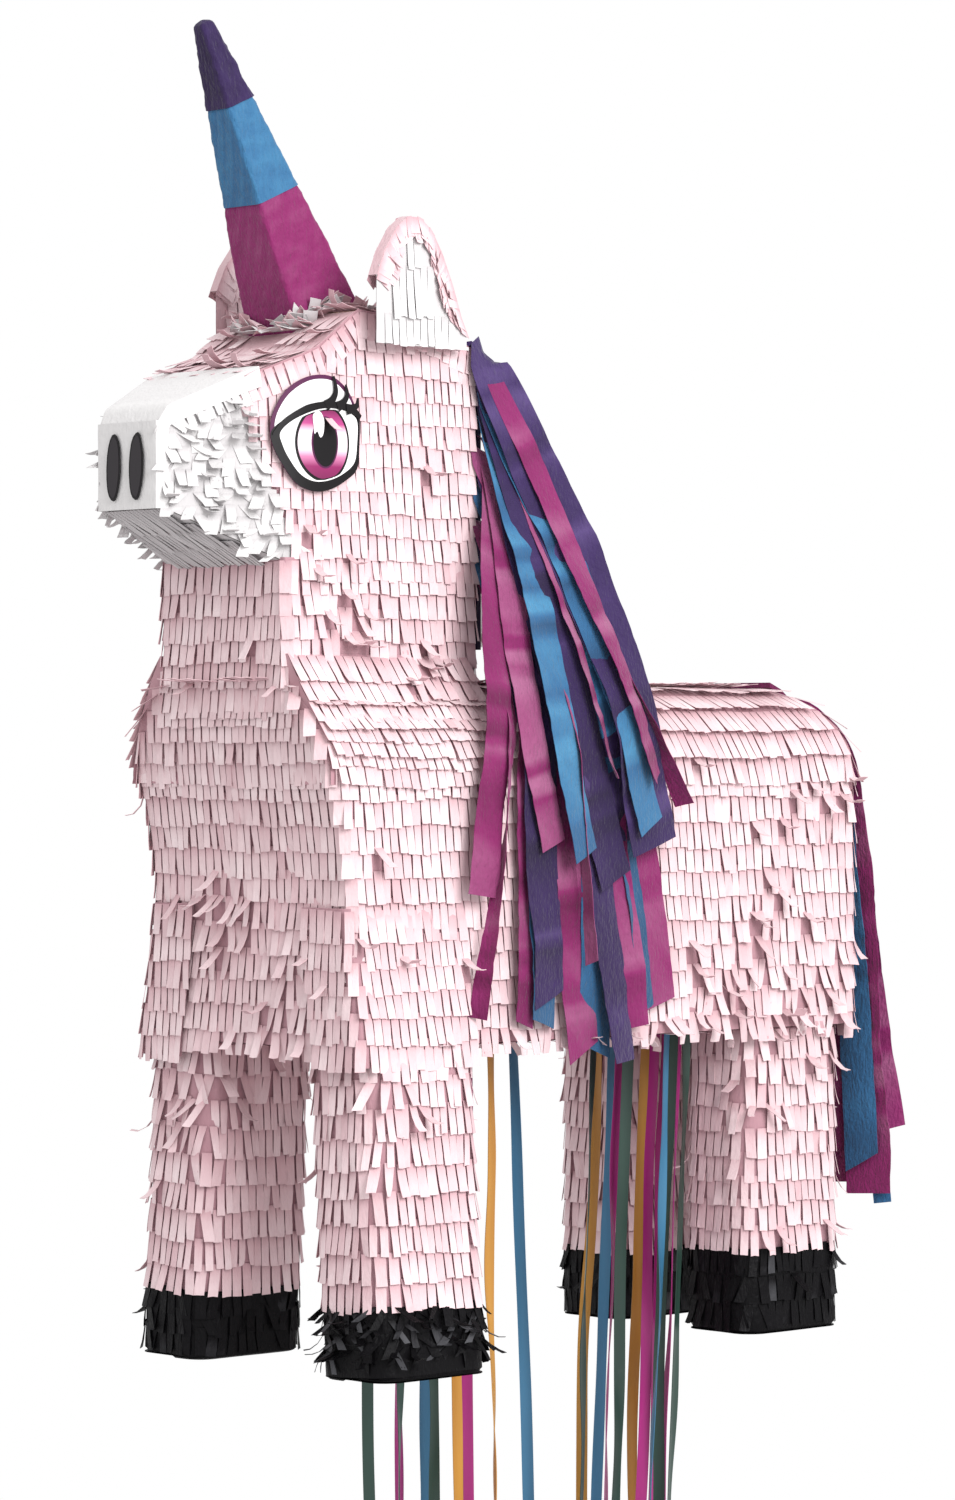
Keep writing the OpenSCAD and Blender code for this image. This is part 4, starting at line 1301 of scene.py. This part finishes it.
class Streamers:
    """Collects crepe streamers of one colour and makes them one mesh. Each has COLS points across."""
    COLS, THICK = 7, 0.22

    def __init__(self, name, material, outward):
        self.name, self.material, self.outward = name, material, np.array(outward, float)
        self.points, self.faces, self.tones, self.cuts = [], [], [], []

    def add(self, path, width, seed, twist, wave, tone):
        """Adds one strip; twist is in radians at its end, and wave is how far it stands off in mm."""
        local = np.random.default_rng(seed)
        line, length = smooth_path(path)
        n, m = len(line), self.COLS
        t = np.linspace(0, 1, n)
        s = t * length
        ahead = unit(np.gradient(line, axis=0))
        across = unit(np.cross(ahead, self.outward))
        normal = np.cross(across, ahead)
        free = np.clip((t - 0.12) / 0.25, 0, 1)
        angle = free * (0.09 * smooth_noise(s / 30, seed) + twist * np.clip((t - 0.3) / 0.7, 0, 1))
        side = across * np.cos(angle)[:, None] + normal * np.sin(angle)[:, None]
        face = np.cross(side, ahead)
        w = np.linspace(-1, 1, m)
        fold = np.zeros(n)
        for centre in local.uniform(0.12, 0.97, int(length / 26)):
            fold += local.choice((-1, 1)) * local.uniform(0.6, 1.5) * np.exp(-np.abs(t - centre) * length / 4.0)
        out = np.abs(np.sin(angle)) * width * 0.5 + free * (wave * (1 + smooth_noise(s / 26, seed + 1)) + 0.6 * fold)
        cup = free * 0.7 * smooth_noise(s / 40, seed + 2)
        centre = line + normal * out[:, None] + across * (free * 1.5 * smooth_noise(s / 45, seed + 3))[:, None]
        half = width / 2 * (1 - 0.6 * np.exp(-t * length / 30))
        ripple = free[:, None] * 0.25 * smooth_noise(s[:, None] / 3 + w[None] * 1.3, seed + 4)
        slant = local.normal(0, 0.10) * width * w[None] * np.exp(-(1 - t)[:, None] * length / 6)
        pts = (
            centre[:, None] + side[:, None] * (half[:, None] * w[None])[..., None]
            + face[:, None] * (cup[:, None] * (w[None] ** 2 - 0.3) + ripple)[..., None]
            + ahead[:, None] * slant[..., None]
        )
        start = sum(len(p) for p in self.points)
        self.points.append(two_layers(pts, pts - face[:, None] * self.THICK))
        self.faces.append(sheet_faces(n, m, start))
        # Painted light and shade: the strip is lighter or darker by the slope of its folds, and one cupped edge lighter
        # than the other; patches and noise are random tone.
        slope = np.gradient(out + fold, s)
        patches = np.interp(s, np.sort(local.uniform(0, length, 9)), local.normal(0, 0.14, 9))
        shade = tone + 1.7 * np.clip(slope, -0.25, 0.25) + 0.10 * smooth_noise(s / 22, seed + 5) + patches
        shade = shade[:, None] + 0.14 * cup[:, None] * w[None] + 0.05 * smooth_noise(s[:, None] / 5 + w[None] * 3, seed)
        # The back face is painted darker, as shade.
        self.tones += [shade.ravel(), shade.ravel() * 0.85]
        self.cuts.append((width, length))

    def make(self, node):
        piece = add_quads(self.name, np.concatenate(self.points), np.concatenate(self.faces), self.material,
                          smooth=70)
        store_tone(piece, np.clip(np.concatenate(self.tones), 0, 1))
        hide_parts(node)
        wide, long = sum(w for w, l in self.cuts) * MM, max(l for w, l in self.cuts) * MM
        area = sum(w * l for w, l in self.cuts) * MM * MM


MANE_TOP, MANE_DROP = 419, 119
# colour, root height, y at the shoulder, y and z of the end, width, layer, twist, tone
MANE = [
    ("magenta", 372, -54, -64, 194, 15, 5, 0.0, 0.5), ("magenta", 376, -37, -26, 214, 15, 6.3, 0.1, 0.75),
    ("magenta", 330, -46, -68, 144, 8, 3, 2.2, 0.4), ("purple", 345, -33, -25, 150, 20, 3.4, 0.15, 0.25),
    ("blue", 392, -23, -10, 210, 17, 9.4, 0.3, 0.6), ("purple", 405, -10, 10, 199, 20, 7, 0.05, 0.32),
    ("blue", 404, 12, 27, 222, 18, 11.4, 0.2, 0.5), ("purple", 419, 18, 31, 213, 29, 9.6, 0.12, 0.5),
    ("purple", 412, 8, 20, 216, 20, 5, -0.1, 0.4), ("magenta", 400, 24, 49, 231, 9, 6, 1.9, 0.4),
    ("magenta", 380, 22, 43, 146, 21, 1, 0.1, 0.6), ("blue", 375, 12, 33, 144, 12, 2.2, 0.3, 0.35),
    ("magenta", 370, 6, 25, 137, 13, 3.4, -0.2, 0.4), ("blue", 365, 6, 4, 128, 20, 0.6, 0.1, 0.35),
    ("purple", 372, -6, 17, 123, 17, 4.6, 0.3, 0.4), ("magenta", 350, -12, -5, 127, 20, 1.8, 0.1, 0.5),
    ("magenta", 385, -14, -6, 165, 8, 5.6, 1.6, 0.85), ("blue", 335, -30, -27, 140, 18, 0.6, 0.3, 0.5),
    ("magenta", 325, -36, -38, 140, 11, 1.8, 0.1, 0.4), ("purple", 398, -18, -6, 232, 16, 4.4, 0.1, 0.3),
    ("magenta", 402, -2, 8, 243, 8, 8.8, 0.9, 0.85), ("blue", 398, 3, 12, 246, 13, 6, -0.2, 0.35),
    ("magenta", 416, 15, 27, 242, 12, 12.2, 0.6, 0.5),
]
# colour, root x, x below the rump edge, x and z of the end, width, layer, twist, tone
TAIL = [
    ("magenta", 27, 51, 58, 84, 14, 7, 0.9, 0.5), ("blue", 25, 51, 55, 70, 18, 0.5, 0.1, 0.5),
    ("magenta", 28, 52, 57, 56, 24, 2.7, 0.1, 0.5), ("blue", 30, 54, 62, 52, 9, 5, 0.2, 0.6),
    ("magenta", 20, 42, 48, 73, 17, 1.6, 0.1, 0.3), ("blue", 6, 10, 16, 80, 19, 2, -0.1, 0.45),
    ("magenta", -4, -4, 4, 96, 18, 3.5, 0.15, 0.5), ("magenta", 18, 33, 40, 60, 18, 5, -0.1, 0.55),
    ("blue", 12, 19, 27, 72, 17, 6.5, 0.2, 0.45), ("magenta", 4, 2, 10, 62, 16, 0, 0.1, 0.4),
]


def hang_streamers(kind, colours, outward, strips, seed, wave):
    """Makes one piece a colour from strips of (colour, path, width, twist, tone)."""
    groups = {colour: Streamers(f"{kind}_streamers_{colour}", TISSUE[colour], outward) for colour in colours}
    for number, (colour, path, width, twist, tone) in enumerate(strips):
        groups[colour].add(path, width, seed + 7 * number, twist, wave, tone)
    for colour, group in groups.items():
        group.make(f"{kind}_{colour}")


def make_mane():
    """Streamers from the band on the nape, over the left shoulder and down."""
    strips = []
    for colour, root, y_top, y_end, z_end, width, layer, twist, tone in MANE:
        z_top = 272 - 14 * (MANE_TOP - root) / MANE_DROP
        path = [
            (24, NAPE_Y + 4.7 + 0.15 * layer, root + 1), (38, NAPE_Y + 4.2 + 0.2 * layer, root),
            (42.5 + 0.3 * layer, NAPE_Y + 5, root - 8),
            (54 + 0.7 * layer, -36 + 0.5 * (y_top + 36), (root + z_top) / 2 + 2), (66.2 + layer, y_top, z_top),
            (66.6 + layer, 0.6 * y_top + 0.4 * y_end, 0.55 * z_top + 0.45 * z_end), (66.2 + layer, y_end, z_end),
        ]
        strips.append((colour, path, width, twist, tone))
    hang_streamers("mane", ("purple", "blue", "magenta"), (1, 0, 0), strips, 200, 0.35)


def make_tail():
    """Streamers from the band on the rump, down its left side."""
    strips = []
    for colour, x_root, x_top, x_end, z_end, width, layer, twist, tone in TAIL:
        path = [
            (0.9 * x_root, 158, 276.5 + 0.25 * layer), (x_root, 165, 271.5 + 0.3 * layer),
            (0.7 * x_root + 0.3 * x_top, 171.5 + 0.5 * layer, 264 + 0.4 * layer),
            (x_top - 5, 175.5 + layer, 244), (x_top, 176.5 + 1.1 * layer, 190),
            (0.5 * (x_top + x_end), 178.5 + 1.3 * layer, 0.5 * (190 + z_end)), (x_end, 180.5 + 1.6 * layer, z_end),
        ]
        strips.append((colour, path, width, twist, tone))
    hang_streamers("tail", ("magenta", "blue"), (0, 1, 0), strips, 500, 0.4)


make_mane()
make_tail()


# ---- pull ribbons
RIBBON_W, RIBBON_T = 5.0, 0.35
# x and y of the exit, length, turn in degrees
RIBBONS = {
    "blue": [(-12, -22, 430, 20), (-2, 84, 440, 60), (40, 75, 435, 110)],
    "gold": [(16, -28, 435, 50), (28, -19, 420, 100), (-16, 88, 445, 15), (12, 91, 430, 60)],
    "magenta": [(-26, -24, 440, 80), (10, -16, 450, 40), (14, 72, 435, 95), (26, 82, 445, 10), (18, 97, 425, 75),
                (30, 93, 450, 120)],
    "green": [(-24, -43, 435, 25), (-12, -36, 445, 85), (4, -30, 430, 55), (0, 70, 440, 105), (22, 70, 425, 45),
              (34, 85, 440, 30), (44, 83, 430, 90)],
}
RELEASE = (20, 2, 450, 0)


def ribbon_material(name, deep, light):
    """Curling ribbon: satin, with fine ribs."""
    material, tree, shader = new_material(name, roughness=0.38, gloss=0.5, brush=0.4)
    ribs = noise(tree, 160, 1, (1, 1, 0.01))
    cloud = noise(tree, 30, 2, (1, 1, 0.3))
    both = maths(tree, "ADD", maths(tree, "MULTIPLY", ribs, 0.5), maths(tree, "MULTIPLY", cloud, 0.5))
    link(tree, ramp(tree, both, [(0.3, deep), (0.7, light)]), shader.inputs["Base Color"])
    bump(tree, shader, ribs, 0.0003, 0.6)
    return material


RIBBON_LOOKS = {
    "blue": ribbon_material("ribbon_blue", (0.02, 0.085, 0.16), (0.045, 0.17, 0.30)),
    "gold": ribbon_material("ribbon_gold", (0.30, 0.12, 0.015), (0.58, 0.29, 0.045)),
    "magenta": ribbon_material("ribbon_magenta", (0.22, 0.005, 0.10), (0.40, 0.015, 0.20)),
    "green": ribbon_material("ribbon_green", (0.006, 0.016, 0.012), (0.020, 0.058, 0.043)),
}


def make_ribbon(name, colour, spec, drift, top, node, body, seed):
    """A free flat ribbon that hangs from height top, and drifts and turns on its way down."""
    x, y, length, turn = spec
    n, m = 90, 5
    t = np.linspace(0, 1, n)
    line = xyz(x, y, top - length * t) + np.sin(t * np.pi / 2)[:, None] * np.array(drift)
    free = np.clip(t / 0.12, 0, 1)
    line[:, 0] += free * 1.3 * smooth_noise(t * 7, seed)
    line[:, 1] += free * 1.3 * smooth_noise(t * 6, seed + 1)
    angle = np.radians(turn + 60 * t) + free * 0.5 * smooth_noise(t * 9, seed + 2)
    side, face = xyz(np.cos(angle), np.sin(angle), 0), xyz(-np.sin(angle), np.cos(angle), 0)
    w = np.linspace(-1, 1, m)
    cup = 0.25 * (1 - w ** 2)
    front = line[:, None] + side[:, None] * (w * RIBBON_W / 2)[None, :, None] + face[:, None] * cup[None, :, None]
    piece = add_quads(name, two_layers(front, front - face[:, None] * RIBBON_T), sheet_faces(n, m)[:, ::-1],
                      RIBBON_LOOKS[colour], body, 50)
    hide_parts(node)
    path = row(line)
    tuple(path[0])
    [tuple(q) for q in path]


def make_ribbons():
    """The pull ribbons; the release ribbon hangs from the trapdoor."""
    specs = [(colour, spec) for colour, group in RIBBONS.items() for spec in group]
    for number, (colour, spec) in enumerate(specs, 1):
        drift = (2, 2, 0) if spec[1] < 0 else (-6, -8, 0)
        make_ribbon(f"ribbon_{colour}_{number:02d}", colour, spec, drift, BELLY_Z, "ribbons_" + colour, "pinata",
                    700 + 5 * number)
    make_ribbon("ribbon_release", "blue", RELEASE, (8, 6, 0), BELLY_Z - 0.6, "release_ribbon", "release_ribbon", 690)


make_ribbons()


# ---- belly and trapdoor paper
def make_belly():
    """Tabs under the belly, with those of the trapdoor on the trapdoor."""
    inside, door = Tabs("fringe_belly", PINK), Tabs("fringe_trapdoor", PINK, "trapdoor")
    point = level(BELLY_Z)
    x0, x1, y0, y1 = DOOR

    def legs(p, grow):
        return np.any([(np.abs(p[..., 0] - x) < LEG_X + grow) & (np.abs(p[..., 1] - y) < LEG_Y + grow)
                       for x, y, *_ in LEGS.values()], 0)

    def keep(p):
        tip = p + (0, 9, 0)
        on_door = within(p, (x0 - 1, x1 + 1, y0 - 12, y1 + 1)) | within(tip, DOOR, 1)
        return ~on_door & ~legs(p, 0.5) & ~legs(tip, -1)

    rows_v = np.arange(CHEST_Y + 3, RUMP_Y - 8, 9.8)
    fringe(inside, point, rows_v, span(-60, 60), keep, 0.12, 30, length=10.5, lift=0.07, root=0.4)
    inside.skin(point, (-61.5, 61.5, 48), (CHEST_Y + 0.5, RUMP_Y - 0.5, 110),
                lambda p: ~within(p, DOOR, 1.6) & ~legs(p, -1))
    inside.make("fringe_body")

    def clear_of_ribbon(p):
        return (np.abs(p[..., 0] - RELEASE[0]) > 5.5) | (p[..., 1] > 6)

    fringe(door, point, np.linspace(y0 + 0.6, y1 - 13.5, 6), span(x0 + 0.6, x1 - 0.6), clear_of_ribbon,
           0.05, 33, length=9.6, lift=0.05, root=0.35, stray=0)
    door.skin(point, (x0 + 0.6, x1 - 0.6, 32), (y0 + 0.6, y1 - 2, 32),
              lambda p: np.hypot(p[..., 0] - RELEASE[0], p[..., 1] - RELEASE[1]) > 3.5, out=0.3)
    door.make()


make_belly()


# ---- card, wood, cord and other plain parts
def plain_material(name, deep, light, scale, stretch=(1, 1, 1), roughness=0.8, depth=0.0003):
    """Card, tape, wood, cord or plastic: one grain, stretched along it, in colour and height."""
    material, tree, shader = new_material(name, roughness=roughness)
    grain = noise(tree, scale, 4, stretch)
    link(tree, ramp(tree, grain, [(0.3, deep), (0.7, light)]), shader.inputs["Base Color"])
    bump(tree, shader, grain, depth)
    return material


PLAIN = {
    "corrugated_card": plain_material("card", (0.30, 0.20, 0.11), (0.42, 0.29, 0.17), 220, (1, 0.08, 1)),
    "paper_tape": plain_material("tape", (0.52, 0.45, 0.32), (0.64, 0.57, 0.43), 300, (0.2, 1, 1)),
    "dowel": plain_material("dowel", (0.45, 0.30, 0.15), (0.62, 0.45, 0.26), 160, (0.06, 1, 1), 0.6),
    "cord_white": plain_material("cord", (0.55, 0.53, 0.48), (0.78, 0.76, 0.71), 900, (1, 1, 0.5), 0.9, 0.0006),
    "tab_plastic": plain_material("tab", (0.76, 0.76, 0.73), (0.80, 0.80, 0.78), 60, (1, 1, 1), 0.4, 0.0001),
    "ribbon_white": plain_material("knots", (0.60, 0.58, 0.58), (0.78, 0.77, 0.77), 400, (1, 1, 1), 0.6, 0.0005),
    "tissue_purple": PURPLE, "tissue_blue": BLUE, "tissue_magenta": MAGENTA, "tissue_white": WHITE,
    "crepe_pink": PINK, "crepe_white": WHITE, "crepe_black": BLACK, "printed_sticker": PAPER,
}
PLAIN.update({"ribbon_" + colour: look for colour, look in RIBBON_LOOKS.items()})

slot_of = {part["node"]: part["material_slot"] for part in frame["record"]["subparts"]}
for node_name, node_object in nodes.items():
    look = BLACK if node_name == "leg_end_discs" else PLAIN.get(slot_of.get(node_name))
    if look is not None:
        node_object.data.materials.clear()
        node_object.data.materials.append(look)


# ---- look
def make_world():
    world = bpy.data.worlds.new("world")
    bpy.context.scene.world = world
    world.use_nodes = True
    background = world.node_tree.nodes["Background"]
    background.inputs[0].default_value = (1, 1, 1, 1)
    background.inputs[1].default_value = 1.0


def make_lamp(at, target, power, size):
    data = bpy.data.lights.new("key", "AREA")
    data.energy, data.size = power, size
    light = bpy.data.objects.new("key", data)
    light.location = row(at)
    aim = Vector(row(target)) - light.location
    light.rotation_euler = aim.to_track_quat("-Z", "Y").to_euler()
    bpy.context.scene.collection.objects.link(light)


FLOOR_Z, FLOOR_R, FLOOR_SIDES = -420.0, 1450, 96


def make_floor():
    """A pale floor under the ribbons, out of the camera's sight."""
    mesh = bpy.data.meshes.new("floor")
    around = np.linspace(0, 2 * np.pi, FLOOR_SIDES, endpoint=False)
    points = row(xyz(FLOOR_R * np.cos(around), FLOOR_R * np.sin(around), FLOOR_Z))
    mesh.from_pydata(points.tolist(), [], [tuple(range(FLOOR_SIDES))])
    material, tree, shader = new_material("floor_paint", roughness=0.9)
    paint = ramp(tree, noise(tree, 3, 2), [(0, (0.58, 0.57, 0.57)), (1, (0.62, 0.61, 0.61))])
    link(tree, paint, shader.inputs["Base Color"])
    mesh.materials.append(material)
    floor = bpy.data.objects.new("floor", mesh)
    bpy.context.scene.collection.objects.link(floor)


make_world()
make_floor()
make_lamp((1500, -300, 900), (0, 0, 250), 27, 0.8)
bpy.context.scene.view_settings.view_transform = "Standard"
